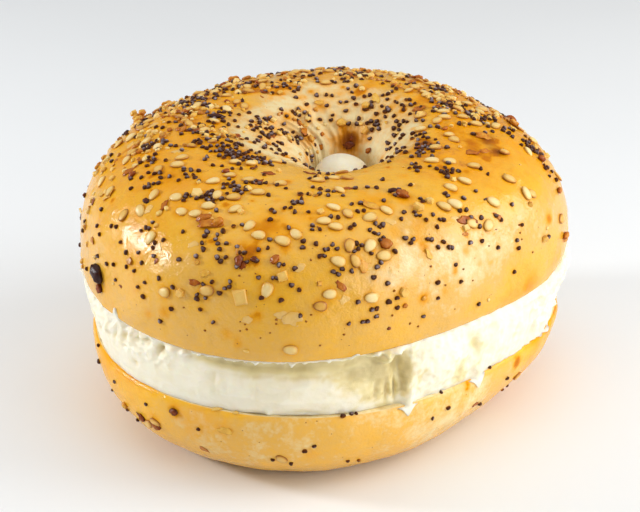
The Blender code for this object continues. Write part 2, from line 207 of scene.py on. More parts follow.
# Drifts of poppy seeds on the top: angle, place, spread in mm, count
POPPY_DRIFTS = (
    (211, 2.02, 2.6, 22), (218, 2.06, 2.6, 28), (225, 2.11, 2.3, 20), (231, 2.12, 1.8, 14),
    (201, 1.98, 2.2, 18), (193, 1.78, 1.8, 16), (156, 1.84, 2.8, 28), (147, 1.86, 2.2, 14),
    (136, 1.84, 1.6, 14), (128, 1.90, 1.7, 16), (111, 2.06, 2.2, 10), (169, 1.65, 1.4, 12),
    (236, 1.74, 1.7, 22), (240, 1.85, 1.5, 16), (244, 1.91, 1.4, 12), (234, 2.15, 1.2, 10),
    (262, 1.80, 2.0, 10), (223, 1.80, 2.0, 10), (214, 1.68, 2.0, 10), (230, 1.68, 1.6, 8),
    (317, 1.94, 1.4, 5), (334, 2.00, 1.9, 17), (340, 2.03, 1.4, 7), (322, 1.84, 1.7, 11),
    (16, 1.92, 2.6, 20), (10, 1.82, 2.4, 17), (4, 1.70, 2.2, 10), (1, 1.52, 2.4, 20),
    (355, 1.40, 1.8, 8), (38, 1.84, 2.0, 16), (48, 2.55, 2.4, 10), (168, 2.35, 3.4, 10),
    (150, 2.5, 3.2, 12), (185, 2.45, 3.2, 10), (121, 2.42, 2.2, 7),
    (82, 2.24, 3.6, 9), (60, 2.28, 3.4, 9), (40, 2.30, 3.0, 8), (98, 2.45, 2.8, 5),
    (172, 2.05, 2.4, 12), (270, 2.12, 2.0, 8), (203, 1.72, 1.6, 10), (185, 2.02, 2.0, 12),
    (58, 1.72, 2.2, 12), (75, 1.92, 2.2, 14), (118, 1.62, 3.2, 16), (88, 1.55, 3.2, 14),
    (60, 1.40, 3.0, 12), (32, 1.45, 3.0, 14), (145, 1.48, 3.2, 14), (160, 1.40, 2.8, 8),
    (98, 1.98, 2.0, 12), (330, 2.28, 2.2, 8), (20, 2.32, 2.4, 9), (350, 2.20, 2.2, 8),
)
# Single poppy seeds at the front of the top: angle, then the places along it
POPPY_SPOTS = (
    (194, 1.13), (202, 1.01), (204, 1.35), (206, 1.27), (209, 1.25), (210, 1.14), (213, 1.33),
    (215, 1.14), (218, 1.16), (219, 1.09, 1.29), (222, 1.26), (223, 1.19), (224, 1.40),
    (225, 1.43), (226, 1.19, 1.29, 1.43, 1.47), (228, 1.12, 1.25), (230, 1.09, 1.16, 1.35, 1.38),
    (231, 1.31), (232, 1.41), (234, 1.21), (235, 1.01), (236, 1.49), (238, 1.08, 1.19, 1.34),
    (242, 1.38, 1.46, 1.50, 1.53), (243, 1.43), (244, 1.16, 1.18), (245, 1.11, 1.24, 1.50, 1.53),
    (246, 1.17, 1.48, 1.56), (247, 1.26, 1.40, 1.45), (248, 1.06, 1.38, 1.49, 1.60),
    (249, 1.21, 1.41), (250, 1.24, 1.62), (251, 1.25, 1.28, 1.48), (252, 1.37, 1.45),
    (253, 1.45), (254, 1.40), (256, 1.41, 1.48), (257, 1.32), (258, 1.21, 1.50, 1.55),
    (260, 1.32, 1.34, 1.43), (261, 1.32, 1.40), (262, 1.20, 1.40, 1.64), (264, 1.28),
    (266, 1.12, 1.51, 1.55), (268, 1.63, 1.66), (269, 1.53), (270, 1.45, 1.63, 1.94),
    (271, 1.45, 1.49), (272, 1.49), (273, 1.35, 1.52, 1.72, 1.89), (274, 1.33, 1.49, 1.51),
    (275, 1.36, 1.71, 1.92), (276, 1.06), (277, 1.34), (278, 1.16, 1.46, 1.62, 1.88),
    (279, 1.06, 1.47, 1.51, 1.64), (280, 1.06, 1.49, 1.80), (281, 1.11, 1.74),
    (282, 1.07, 1.11, 1.28, 1.43), (283, 1.34, 1.59, 1.74, 1.80), (284, 1.36, 1.56, 1.93),
    (285, 1.13, 1.23, 1.50, 1.55, 1.63), (286, 1.52, 1.60), (287, 1.09, 1.14, 1.61),
    (288, 1.41), (291, 1.79), (292, 1.48, 1.90), (293, 1.44, 1.62), (294, 1.02, 1.46),
    (295, 1.66), (298, 1.08, 1.16, 1.43, 1.61, 1.64), (299, 1.42, 1.60, 1.84),
    (300, 1.36, 1.56), (302, 1.38, 1.49), (303, 1.34, 1.58, 1.72), (304, 1.22, 1.33, 1.53),
    (305, 1.12, 1.52), (310, 1.32), (311, 1.00), (312, 1.46, 1.54, 1.67, 1.69),
    (314, 1.30, 1.47, 1.53), (315, 1.39), (316, 1.61), (317, 1.44), (319, 1.22),
    (322, 1.41, 1.62), (323, 1.37), (324, 1.05), (326, 1.16), (329, 1.28, 1.43), (338, 1.13),
)
# Poppy seeds on the bottom
LOW_POPPY_SPOTS = (
    (278, 2.92), (277, 1.57, 2.94), (275, 2.72), (329, 1.83), (334, 1.60), (303, 1.90),
    (298, 1.86), (301, 2.85), (267, 1.76), (269, 1.81), (260, 1.64), (264, 1.60), (280, 1.54),
    (230, 1.91), (206, 1.89, 2.50), (212, 1.73), (219, 1.66), (222, 1.60), (227, 1.70),
    (320, 2.95), (238, 1.93),
)
# Tiny brown crumbs of burnt crust on the top
SPECK_SPOTS = (
    (253.8, 1.04, 1.08), (254.8, 1.07), (255.2, 1.05), (261.2, 1.08, 1.10), (260, 1.04),
    (258, 1.02), (268.2, 1.12), (267.2, 1.09), (252.8, 1.32), (256.2, 1.34), (268, 1.43),
    (296.8, 1.26), (300.2, 1.13), (303.2, 1.01), (306.2, 1.18), (328.2, 1.29), (327.8, 1.20, 1.24),
    (285.8, 1.06), (290.5, 1.01), (292.8, 0.97), (286.5, 1.18), (282.5, 1.08), (316, 1.25),
    (320, 1.33), (309, 1.10), (275, 1.02), (270, 0.99), (246, 1.02), (241, 1.10), (331, 1.10),
)

# Sesame seeds that stand out: angle, place, heading in degrees seen from the front
SESAME_SPOTS = (
    (211, 1.84, 20), (214, 1.80, -10), (228, 1.99, 15), (234, 2.05, 60), (234, 1.91, 10),
    (232, 1.83, 15), (242, 1.93, 0), (249, 1.86, 8), (254, 1.96, 10), (269, 2.00, 10),
    (220, 1.60, 45), (227, 1.65, -20), (238, 1.76, 80), (243, 1.78, 0), (238, 1.68, 0),
    (246, 1.71, 30), (232, 1.59, -40), (236, 1.61, -20), (220, 1.49, 90), (202, 1.45, 55),
    (252, 1.62, 50), (255, 1.57, -10), (264, 1.60, -55), (261, 1.55, -25), (228, 1.39, 40),
    (236, 1.15, -10), (246, 1.21, 10), (259, 1.25, 75), (264, 0.90, 50), (270, 1.16, -20),
    (272, 1.22, 10), (281, 1.17, -10), (274, 1.41, -20), (278, 1.40, -60), (277, 1.50, 90),
    (282, 1.48, 70), (285, 1.40, 20), (274, 1.64, 10), (271, 1.69, 15), (274, 1.79, -20),
    (278, 1.73, 110), (290, 1.71, -40), (284, 1.68, 30), (276, 2.06, 0), (279, 2.24, 10),
    (338, 1.98, 0), (326, 1.94, 5), (330, 1.88, 0), (333, 1.77, 0), (323, 1.72, -20),
    (316, 1.72, -20), (308, 1.61, -20), (312, 1.60, -20), (324, 1.50, -10), (336, 1.44, -50),
    (313, 1.43, 15), (14, 1.97, 5), (9, 1.90, 0), (15, 1.79, -50), (4, 1.85, 0),
    (23, 1.80, -20), (28, 1.93, -20), (45, 1.79, -10), (58, 1.83, 0), (88, 2.10, 10),
    (14, 2.18, 30), (347, 1.15, 80), (194, 1.60, 60), (188, 1.72, 40), (178, 1.62, 50),
)

# Sesame seeds on the bottom: angle, place
LOW_SESAME_SPOTS = (
    (232, 1.77), (229, 1.70), (262, 1.66), (36, 1.75), (74, 1.8), (110, 1.7), (165, 1.75), (338, 1.7),
)

# Onion flakes that stand out: angle, place, heading, length, width in mm, and how
# dark each is, from 0 pale straw to 1 burnt black
TOP_FLAKES = (
    (242, 1.58, -8, 6.0, 2.6, 0.42), (253.2, 1.38, 60, 2.2, 1.4, 0.60),
    (243, 1.24, -30, 2.6, 1.4, 0.55), (232, 1.29, 30, 1.6, 1.2, 0.60),
    (274.5, 1.26, -60, 3.0, 1.5, 0.50), (312, 1.465, 12, 4.4, 2.0, 0.52),
    (322.5, 1.40, -20, 2.6, 1.4, 0.50), (309.5, 1.38, 20, 1.4, 1.1, 0.40), (297, 1.33, -50, 2.8, 1.4, 0.20),
    (348.5, 1.03, 85, 4.4, 1.5, 0.36), (297, 1.81, -60, 3.2, 2.0, 0.50),
    (281, 1.94, 0, 2.4, 1.4, 0.55), (286, 1.77, -20, 4.6, 2.4, 0.28), (354.5, 1.81, 0, 5.0, 3.0, 0.36),
    (341, 1.84, 0, 4.4, 2.0, 0.48), (345, 1.78, 20, 3.0, 1.6, 0.42), (337, 2.04, 30, 3.8, 1.8, 0.72),
    (21.5, 2.14, 10, 2.8, 1.7, 0.50), (19, 1.545, 0, 3.8, 2.2, 0.62), (56, 1.73, 0, 3.8, 2.2, 0.55),
    (166, 1.60, 60, 3.4, 2.0, 0.22),
    (189, 1.95, 0, 3.4, 1.8, 0.60), (201.5, 1.60, 10, 3.4, 1.8, 0.50), (196, 1.32, 70, 2.6, 1.8, 0.62),
    (246, 2.00, -5, 3.2, 1.3, 0.60), (225.8, 1.58, 60, 3.2, 1.6, 0.52), (134, 2.66, 90, 2.2, 1.4, 0.30),
    (84, 2.57, 0, 2.6, 2.0, 0.18), (98, 2.35, 0, 2.2, 1.4, 0.22), (76, 2.79, 10, 3.0, 1.6, 0.72),
    (334, 2.37, 85, 3.0, 0.9, 0.25), (262, 2.19, -5, 3.0, 1.2, 0.66), (205, 1.18, 80, 2.2, 1.4, 0.40),
    (137, 1.42, 30, 5.2, 3.0, 0.55), (48, 1.45, 110, 5.0, 3.2, 0.35), (72, 1.60, 25, 5.2, 3.2, 0.60),
    (100, 1.50, 80, 4.8, 3.0, 0.45), (20, 1.32, 40, 5.0, 3.2, 0.50), (245, 1.30, 20, 2.4, 1.6, 0.20),
)
BOTTOM_FLAKES = (
    (238, 1.95, 40, 2.2, 1.5, 0.78), (232, 1.74, 20, 2.8, 1.6, 0.62), (250, 1.90, 5, 3.6, 1.8, 0.18),
    (226, 1.72, 30, 2.6, 1.6, 0.70), (316, 1.74, 60, 2.4, 1.2, 0.55), (244, 1.64, 10, 2.6, 1.2, 0.45),
    (40, 1.80, 10, 3.4, 2.0, 0.50), (120, 1.85, 30, 3.0, 2.0, 0.40), (80, 1.70, 80, 2.6, 1.6, 0.60),
)

# Thick bits, of onion or of burnt crust: angle, place, heading, length, width and
# thickness in mm, darkness from 0 to 1, and how far each is raised in mm
NUGGETS = (
    (211, 1.06, 211, 4.9, 3.7, 2.8, 0.97, 0.2), (211.4, 0.985, 211, 2.4, 1.9, 1.4, 0.66, 0.1),
    (161.5, 1.57, 20, 1.9, 1.6, 1.4, 0.16, 2.3),
    (163.0, 1.58, 60, 2.2, 1.7, 1.5, 0.24, 1.3), (160.5, 1.60, 10, 2.0, 1.8, 1.5, 0.18, 1.2),
    (162.5, 1.62, 80, 1.8, 1.5, 1.4, 0.30, 1.5), (164.5, 1.60, 0, 2.4, 1.9, 1.6, 0.20, 0.6),
    (161.5, 1.59, 50, 2.6, 2.0, 1.8, 0.28, 0.4), (166.5, 1.61, 30, 2.0, 1.6, 1.4, 0.36, 0.5),
    (160.0, 1.57, 70, 1.5, 1.3, 1.2, 0.22, 0.9), (168, 1.62, 0, 2.2, 1.8, 1.3, 0.20, 0.3),
    (286.2, 1.47, 20, 2.6, 2.3, 1.5, 0.50, 0.2), (252.2, 1.40, 70, 2.6, 1.9, 1.5, 0.68, 0.2),
    (255.5, 1.42, 10, 1.6, 1.3, 1.1, 0.75, 0.2), (239.5, 1.60, 0, 3.6, 2.2, 1.5, 0.50, 0.2),
    (243.5, 1.60, 30, 2.8, 2.0, 1.4, 0.40, 0.2), (298.5, 1.79, -50, 3.2, 2.3, 1.7, 0.55, 0.3),
    (296.5, 1.84, 0, 2.2, 1.5, 1.3, 0.90, 0.2), (19.2, 1.55, 0, 2.8, 2.0, 1.7, 0.56, 0.4),
    (13, 1.60, 0, 2.4, 1.8, 1.5, 0.30, 0.4), (348.5, 1.05, 85, 3.0, 1.5, 1.3, 0.38, 0.4),
    (84, 2.57, 0, 2.2, 1.9, 1.3, 0.20, 0.2), (134, 2.66, 90, 2.2, 1.8, 1.3, 0.26, 0.2),
    (76, 2.78, 5, 2.8, 1.4, 0.4, 0.70, 0.0), (72, 2.72, 60, 1.3, 1.0, 0.4, 0.66, 0.0),
    (260, 1.43, 60, 2.2, 1.6, 1.2, 0.52, 0.2), (53, 1.74, 0, 2.3, 1.6, 1.4, 0.50, 0.3),
    (172, 2.05, 0, 4.4, 1.8, 1.3, 0.90, 0.1), (205, 1.60, 20, 2.2, 1.5, 1.1, 0.58, 0.2),
    (352, 1.28, 80, 2.4, 1.4, 1.2, 0.45, 0.3), (357, 1.47, 10, 2.2, 1.6, 1.3, 0.55, 0.4),
    (150, 1.62, 30, 2.6, 2.0, 1.6, 0.30, 0.4), (122, 1.70, 0, 2.6, 2.0, 1.6, 0.36, 0.4),
    (255.0, 0.76, 10, 1.6, 0.9, 0.7, 0.10, 0.0), (294, 1.10, 30, 1.4, 1.1, 0.8, 0.30, 0.0),
    (289, 1.09, 0, 1.2, 1.0, 0.7, 0.45, 0.0), (231, 1.92, 20, 1.8, 1.4, 1.1, 0.6, 0.1),
)
LOW_NUGGETS = (
    (238, 1.95, 40, 2.2, 1.6, 1.1, 0.72, 0.1), (232, 1.74, 20, 2.6, 1.6, 1.2, 0.60, 0.1),
    (227, 1.73, 30, 2.2, 1.6, 1.2, 0.62, 0.2), (219.5, 1.72, 0, 1.8, 1.4, 1.2, 0.22, 0.2),
    (248, 2.90, 10, 3.0, 1.2, 0.7, 0.08, 0.0), (252, 2.78, 0, 1.4, 0.9, 0.6, 0.10, 0.0),
)
# Thin, pale films of onion lying flat: angle, place, heading, length and width in mm
FILMS = (
    (264.8, 1.10, 30, 4.4, 3.0), (262.2, 1.12, -20, 2.8, 2.0), (281.5, 1.18, 0, 2.8, 1.9),
    (275.2, 1.18, 70, 2.4, 1.8), (255.2, 1.09, 0, 2.6, 1.8), (265.5, 1.38, 40, 2.6, 1.8),
    (231.0, 1.36, -40, 3.0, 2.0), (240.0, 1.44, 0, 2.6, 1.6), (222.0, 1.52, 30, 2.8, 1.9),
    (290.0, 1.62, 0, 2.8, 1.8), (309.0, 1.50, 0, 2.6, 1.7), (183.0, 1.62, 50, 3.0, 2.0),
    (175.0, 1.75, 30, 3.2, 2.2), (205.0, 1.85, 0, 2.8, 1.9),
)
# Granules of garlic: angle, place
GARLIC_SPOTS = ((288.8, 1.16), (60.5, 2.38), (54.5, 2.61), (310.5, 1.42), (240, 1.17),
                (14.5, 2.18), (300, 1.66), (305, 1.68), (262, 1.33), (248, 1.70), (232, 1.72))


def ease(value, low, high):
    """Smooth step from 0 at low to 1 at high."""
    share = np.clip((np.asarray(value, float) - low) / (high - low), 0.0, 1.0)
    return share * share * (3 - 2 * share)


def turn_between(angle, middle):
    """Signed turn in degrees from a middle direction."""
    return (np.degrees(angle) - middle + 180) % 360 - 180


def window(angle, start, end, soft):
    """1 between two directions in degrees, fading to 0 over soft degrees outside."""
    away = np.abs(turn_between(angle, (start + end) / 2))
    half = (end - start) / 2
    return 1 - ease(away, half, half + soft)


def zone(angle, place, amount, span, *stretches):
    """Amount inside a window round the ring and stretches of the profile.

    The span is the window's start, end and softness in degrees. A stretch is two
    places: the amount sets in between them, or ends there if the first is the larger.
    """
    share = amount * window(angle, *span)
    for first, second in stretches:
        rising = ease(place, min(first, second), max(first, second))
        share = share * (rising if first < second else 1 - rising)
    return share


def level_way(angle):
    """Level direction of length one at each angle."""
    return np.stack((np.cos(angle), np.sin(angle), np.zeros_like(angle)), -1)


def noise_field(points, size, seed=0):
    """Smooth noise of about -0.7 to 0.7 with features of a size in metres."""
    shift = Vector((7.13, 3.71, 5.37)) * seed
    flat = (points.reshape(-1, 3) / size).tolist()
    values = [noise.noise(Vector(spot) + shift) for spot in flat]
    return np.array(values).reshape(points.shape[:-1])


def wave(angle, harmonics):
    """Sum of cosine and sine shares at an angle."""
    total = np.zeros_like(angle)
    for order, (cosine, sine) in harmonics.items():
        total = total + cosine * np.cos(order * angle) + sine * np.sin(order * angle)
    return total


def arc(start, end, share, exponent):
    """Points on a quarter superellipse that starts upright and ends level."""
    turn = share * math.pi / 2
    across = np.cos(turn).clip(0) ** (2 / exponent)
    along = np.sin(turn).clip(0) ** (2 / exponent)
    return end[0] + (start[0] - end[0]) * across, start[1] + (end[1] - start[1]) * along


def line(start, end, share):
    """Points on a straight stretch of a profile."""
    return start[0] + (end[0] - start[0]) * share, start[1] + (end[1] - start[1]) * share


def along_profile(angle, place, stretches):
    """Radius and height along a closed profile of stretches, one for each whole place."""
    place = np.mod(place, len(stretches))
    radius = np.zeros_like(place)
    height = np.zeros_like(place)
    for number, stretch in enumerate(stretches):
        here = np.floor(place) == number
        radius[here], height[here] = stretch(place[here] - number, angle[here])
    return radius, height


def top_profile(angle, place):
    """Profile of the top: 0 cut edge, 1 widest, 2 crest, 3 throat, 4 foot."""
    edge = (TOP_EDGE_RADIUS, TOP_CUT_Z)
    widest = (TOP_RADIUS, TOP_CUT_Z + TOP_BELLY)
    crest = (TOP_CREST_RADIUS, TOP_CUT_Z + TOP_RISE)
    throat = (THROAT_RADIUS, THROAT_Z)
    foot = (THROAT_FOOT_RADIUS, TOP_CUT_Z)
    return along_profile(angle, place, (
        lambda share, turn: arc(widest, edge, 1 - share, 2),
        lambda share, turn: arc(widest, crest, share, TOP_SHOULDER + wave(turn, TOP_SHOULDER_WAVE)),
        lambda share, turn: arc(throat, crest, 1 - share, FUNNEL_EXPONENT),
        lambda share, turn: line(throat, foot, share),
        lambda share, turn: line(foot, edge, share)))


def bottom_profile(angle, place):
    """Mean profile of the bottom: 0 inner base, 1 base rim, 2 widest, 3 cut edge, 4 hole."""
    inner_base = (BASE_HOLE_RADIUS, 0.0)
    outer_base = (BASE_RADIUS, 0.0)
    widest = (BOTTOM_RADIUS, BOTTOM_CUT_Z - BOTTOM_BELLY)
    edge = (BOTTOM_EDGE_RADIUS, BOTTOM_CUT_Z)
    hole_top = (BOTTOM_HOLE_RADIUS, BOTTOM_CUT_Z)
    hole_foot = (BOTTOM_HOLE_RADIUS, BOTTOM_HOLE_FLARE)
    return along_profile(angle, place, (
        lambda share, turn: line(inner_base, outer_base, share),
        lambda share, turn: arc(widest, outer_base, 1 - share, BOTTOM_SHOULDER),
        lambda share, turn: arc(widest, edge, share, 2),
        lambda share, turn: line(edge, hole_top, share),
        lambda share, turn: line(hole_top, hole_foot, share),
        lambda share, turn: arc(hole_foot, inner_base, share, 2)))


def lump(points, fade):
    """Slow swelling of a crust about its mean surface."""
    return 1 + LUMP_SHARE * fade * noise_field(points, LUMP_SIZE)


def pleat(angle):
    """Depth of the folds in the funnel, strongest at its left and back."""
    offset = (angle - PLEAT_MIDDLE + math.pi) % (2 * math.pi) - math.pi
    strength = np.cos(offset / PLEAT_REACH * math.pi / 2).clip(0)
    strength = np.where(np.abs(offset) > PLEAT_REACH, 0.0, strength)
    return PLEAT_DEPTH * strength * np.sin(angle * PLEAT_COUNT + 1.5 * np.sin(3 * angle))


def top_form(angle, place):
    """Points of the top half's mean surface, before its fine relief."""
    angle, place = np.broadcast_arrays(np.asarray(angle, float), np.asarray(place, float))
    radius, height = top_profile(angle, place)
    inward = (TOP_CREST_RADIUS - radius) / (TOP_CREST_RADIUS - THROAT_RADIUS)
    hole_share = inward.clip(0, 1)
    above = height - TOP_CUT_Z
    fade = np.minimum(above / LUMP_FADE, 1.0)
    in_funnel = (place > 2) & (place < 3)
    radius = radius + np.where(in_funnel, pleat(angle) * np.sin(math.pi * (place - 2)), 0.0)
    radius = radius * (1 + wave(angle, TOP_PLAN))
    above = above * (1 + wave(angle, TOP_HEIGHT_WAVE))
    across = level_way(angle)
    swell = lump(across * radius[..., None] + UPRIGHT * above[..., None], fade)
    radius = radius * (1 + (swell - 1) * (1 - hole_share))
    above = above * swell
    points = across * radius[..., None]
    points[..., 0] += HOLE_SHIFT[0] * hole_share
    points[..., 1] += HOLE_SHIFT[1] * hole_share
    points[..., 2] = TOP_CUT_Z + above + TOP_SLOPE * points[..., 0]
    return points


def bottom_form(angle, place):
    """Points of the bottom half's mean surface, before its fine relief."""
    angle, place = np.broadcast_arrays(np.asarray(angle, float), np.asarray(place, float))
    radius, height = bottom_profile(angle, place)
    rise = height / BOTTOM_CUT_Z
    radius = radius * (1 + wave(angle, BOTTOM_PLAN) + wave(angle, BASE_PLAN) * (1 - rise))
    fade = np.minimum(rise, (1 - rise) * BOTTOM_CUT_Z / LUMP_FADE).clip(0, 1)
    across = level_way(angle)
    radius = radius * lump(across * radius[..., None] + UPRIGHT * height[..., None], fade)
    points = across * radius[..., None]
    points[..., 2] = height + BOTTOM_SLOPE * points[..., 0] * rise
    points[..., 0] += BASE_SHIFT[0] * (1 - rise)
    points[..., 1] += BASE_SHIFT[1] * (1 - rise)
    return points


def unit(vectors):
    """Vectors of length one."""
    return vectors / np.linalg.norm(vectors, axis=-1, keepdims=True).clip(1e-12)


def framed(form, angle, place):
    """Points of a form, their outward normals and the lengths of a step each way."""
    step = 0.006
    around = (form(angle + step, place) - form(angle - step, place)) / (2 * step)
    along = (form(angle, place + step) - form(angle, place - step)) / (2 * step)
    return form(angle, place), unit(np.cross(around, along)), around, along


def top_relief(points, angle, place):
    """Height of the fine relief on the top crust."""
    skin = ease(place, 0.02, 0.35) * (1 - ease(place, 3.0, 3.3))
    coarse = 0.32 * noise_field(points, 10 * MM, 1)
    middle = 0.13 * noise_field(points, 4 * MM, 2)
    fine = 0.05 * noise_field(points, 1.6 * MM, 3)
    blister = (noise_field(points, 2.6 * MM, 4) - 0.33).clip(0) * 0.55
    funnel = ease(place, 2.25, 2.6) * (1 - ease(place, 2.97, 3.1))
    side = np.maximum(window(angle, 95, 235, 25), 0.35)
    crimp = np.sin(angle * 47 + 9 * noise_field(points, 9 * MM, 5) + 2.2 * np.sin(5 * angle))
    wrinkle = 0.15 * funnel * side * crimp
    return (skin * (coarse + middle + fine + blister) + wrinkle) * MM


def bottom_relief(points, angle, place):
    """Height of the fine relief on the bottom crust."""
    skin = ease(place, 1.0, 1.25) * (1 - ease(place, 2.75, 2.98))
    base = (1 - ease(place, 0.95, 1.05)) * 0.06
    coarse = 0.26 * noise_field(points, 9 * MM, 11)
    middle = 0.12 * noise_field(points, 3.6 * MM, 12)
    fine = 0.05 * noise_field(points, 1.5 * MM, 13)
    crumb = ease(place, 2.98, 3.05) * (1 - ease(place, 3.95, 4.0))
    open_crumb = -0.35 * crumb * np.abs(noise_field(points, 1.3 * MM, 14))
    return (skin * (coarse + middle + fine) - base * np.abs(coarse) + open_crumb) * MM


def top_surface(angle, place):
    """Points and normals of the finished top crust."""
    points, normals, _, _ = framed(top_form, angle, place)
    return points + normals * top_relief(points, angle, place)[..., None], normals


def bottom_surface(angle, place):
    """Points and normals of the finished bottom crust."""
    points, normals, _, _ = framed(bottom_form, angle, place)
    return points + normals * bottom_relief(points, angle, place)[..., None], normals


def places_of(steps):
    """Places along a profile, with a number of even steps in each stretch."""
    return np.concatenate([
        number + np.arange(count) / count for number, count in enumerate(steps)])


def mesh_of(name, points, faces, attributes):
    """Mesh with smooth faces and one number a point for each attribute."""
    mesh = bpy.data.meshes.new(name)
    mesh.from_pydata((points + TO_ORIGIN).tolist(), [], faces)
    for label, values in attributes.items():
        layer = mesh.attributes.new(label, "FLOAT", "POINT")
        layer.data.foreach_set("value", np.asarray(values, np.float32).ravel())
    mesh.shade_smooth()
    mesh.validate()
    return mesh


def ring_faces(rows, columns, closed):
    """Four-cornered faces of a grid that closes round the ring."""
    index = np.arange(rows * columns).reshape(rows, columns)
    low = index if closed else index[:-1]
    high = np.roll(index, -1, axis=0) if closed else index[1:]
    corners = np.stack((low, np.roll(low, -1, 1), np.roll(high, -1, 1), high), -1)
    return corners.reshape(-1, 4).tolist()


def revolve(rows, poles):
    """Points and faces of rings between two poles."""
    count, columns = rows.shape[:2]
    flat = np.concatenate((rows.reshape(-1, 3), np.array(poles)))
    faces = ring_faces(count, columns, False)
    first = count * columns
    last = first - columns
    for step in range(columns):
        after = (step + 1) % columns
        faces.append([first, after, step])
        faces.append([first + 1, last + step, last + after])
    return flat, faces


def add_piece(name, mesh, material, slot, *nodes):
    """Object of a finished mesh that rides on the body and stands for nodes."""
    mesh.materials.clear()
    mesh.materials.append(material)
    piece = bpy.data.objects.new(name, mesh)
    bpy.context.scene.collection.objects.link(piece)
    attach(piece, BODY)
    if nodes:
        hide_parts(*nodes)
    return piece


def oil_and_shade_rings(points, centres, reach, width):
    """Strength of the oily ring round each small piece and of its warm halo, partly painted contact shade.
    """
    tree = KDTree(len(centres))
    for number, centre in enumerate(centres):
        tree.insert(centre, number)
    tree.balance()
    flat = points.reshape(-1, 3)
    away = np.array([tree.find(spot)[2] for spot in flat.tolist()]).reshape(points.shape[:-1])
    ring = np.exp(-((away - reach) / width) ** 2)
    return np.where(away < reach, 1.0, ring)


def patches(form, points, spots, seed, sharpness=3):
    """Strength of soft-edged, uneven patches on a crust, from 0 to 1."""
    drift = 1 + 0.55 * noise_field(points, 3.2 * MM, seed) + 0.3 * noise_field(points, MM, seed + 1)
    clear = np.ones(points.shape[:-1])
    for degrees, place, reach, strength in spots:
        centre = form(math.radians(degrees), place)
        distance = np.linalg.norm(points - centre, axis=-1) * drift
        clear *= 1 - strength * np.exp(-(distance / (reach * MM)) ** sharpness)
    return 1 - clear


def make_node(tree, kind, inputs=None, **settings):
    """Node with its settings and its inputs, each a value or a socket to link."""
    made = tree.nodes.new(kind)
    for label, value in settings.items():
        setattr(made, label, value)
    for key, value in (inputs or {}).items():
        if isinstance(value, bpy.types.NodeSocket):
            tree.links.new(value, made.inputs[key])
        else:
            made.inputs[key].default_value = value
    return made


def calculate(tree, operation, *values, clamp=False):
    """Output of a Math node."""
    inputs = dict(enumerate(values))
    return make_node(tree, "ShaderNodeMath", inputs, operation=operation, use_clamp=clamp).outputs[0]


def blend_colour(tree, share, first, second, mode="MIX"):
    """Output of a colour Mix node, whose second colour is a socket or three numbers."""
    if not isinstance(second, bpy.types.NodeSocket):
        second = (*second, 1.0)
    inputs = {0: share, 6: first, 7: second}
    return make_node(tree, "ShaderNodeMix", inputs, data_type="RGBA", blend_type=mode).outputs[2]


def colour_ramp(tree, value, stops):
    """Output of a colour ramp with stops of position and colour."""
    made = make_node(tree, "ShaderNodeValToRGB", {0: value})
    elements = made.color_ramp.elements
    while len(elements) > 1:
        elements.remove(elements[-1])
    elements[0].position = stops[0][0]
    elements[0].color = (*stops[0][1], 1.0)
    for position, colour in stops[1:]:
        elements.new(position).color = (*colour, 1.0)
    return made.outputs[0]


def map_value(tree, value, given, wanted, curve="LINEAR"):
    """A value brought from one range into another and kept inside it."""
    inputs = {"Value": value, "From Min": given[0], "From Max": given[1],
              "To Min": wanted[0], "To Max": wanted[1]}
    return make_node(tree, "ShaderNodeMapRange", inputs, interpolation_type=curve).outputs["Result"]


def ramp_value(tree, value, low, high):
    """Smooth step of a value from low to high."""
    return map_value(tree, value, (low, high), (0.0, 1.0), "SMOOTHSTEP")


def noise_node(tree, vector, size, detail=3.0, roughness=0.55, distortion=0.0):
    """Noise value with features of a size in metres."""
    inputs = {"Vector": vector, "Scale": 1 / size, "Detail": detail,
              "Roughness": roughness, "Distortion": distortion}
    return make_node(tree, "ShaderNodeTexNoise", inputs).outputs[0]


def attribute(tree, name):
    """Value of a number stored on the mesh."""
    return make_node(tree, "ShaderNodeAttribute", attribute_name=name).outputs["Fac"]


def bumped(tree, heights):
    """Normal from several heights, each with its depth in metres."""
    normal = None
    for height, depth in heights:
        inputs = {"Height": height, "Distance": depth, "Strength": 1.0}
        if normal is not None:
            inputs["Normal"] = normal
        normal = make_node(tree, "ShaderNodeBump", inputs).outputs[0]
    return normal


def new_material(name, **constants):
    """Principled material with its constant inputs, its tree and object coordinates."""
    material = bpy.data.materials.new(name)
    material.use_nodes = True
    tree = material.node_tree
    shader = tree.nodes["Principled BSDF"]
    for label, value in constants.items():
        shader.inputs[label.replace("_", " ")].default_value = value
    place = make_node(tree, "ShaderNodeTexCoord").outputs["Object"]
    return material, tree, shader, place


def feed(tree, shader, **outputs):
    """Links outputs to the shader's inputs of these names."""
    for label, output in outputs.items():
        tree.links.new(output, shader.inputs[label.replace("_", " ")])


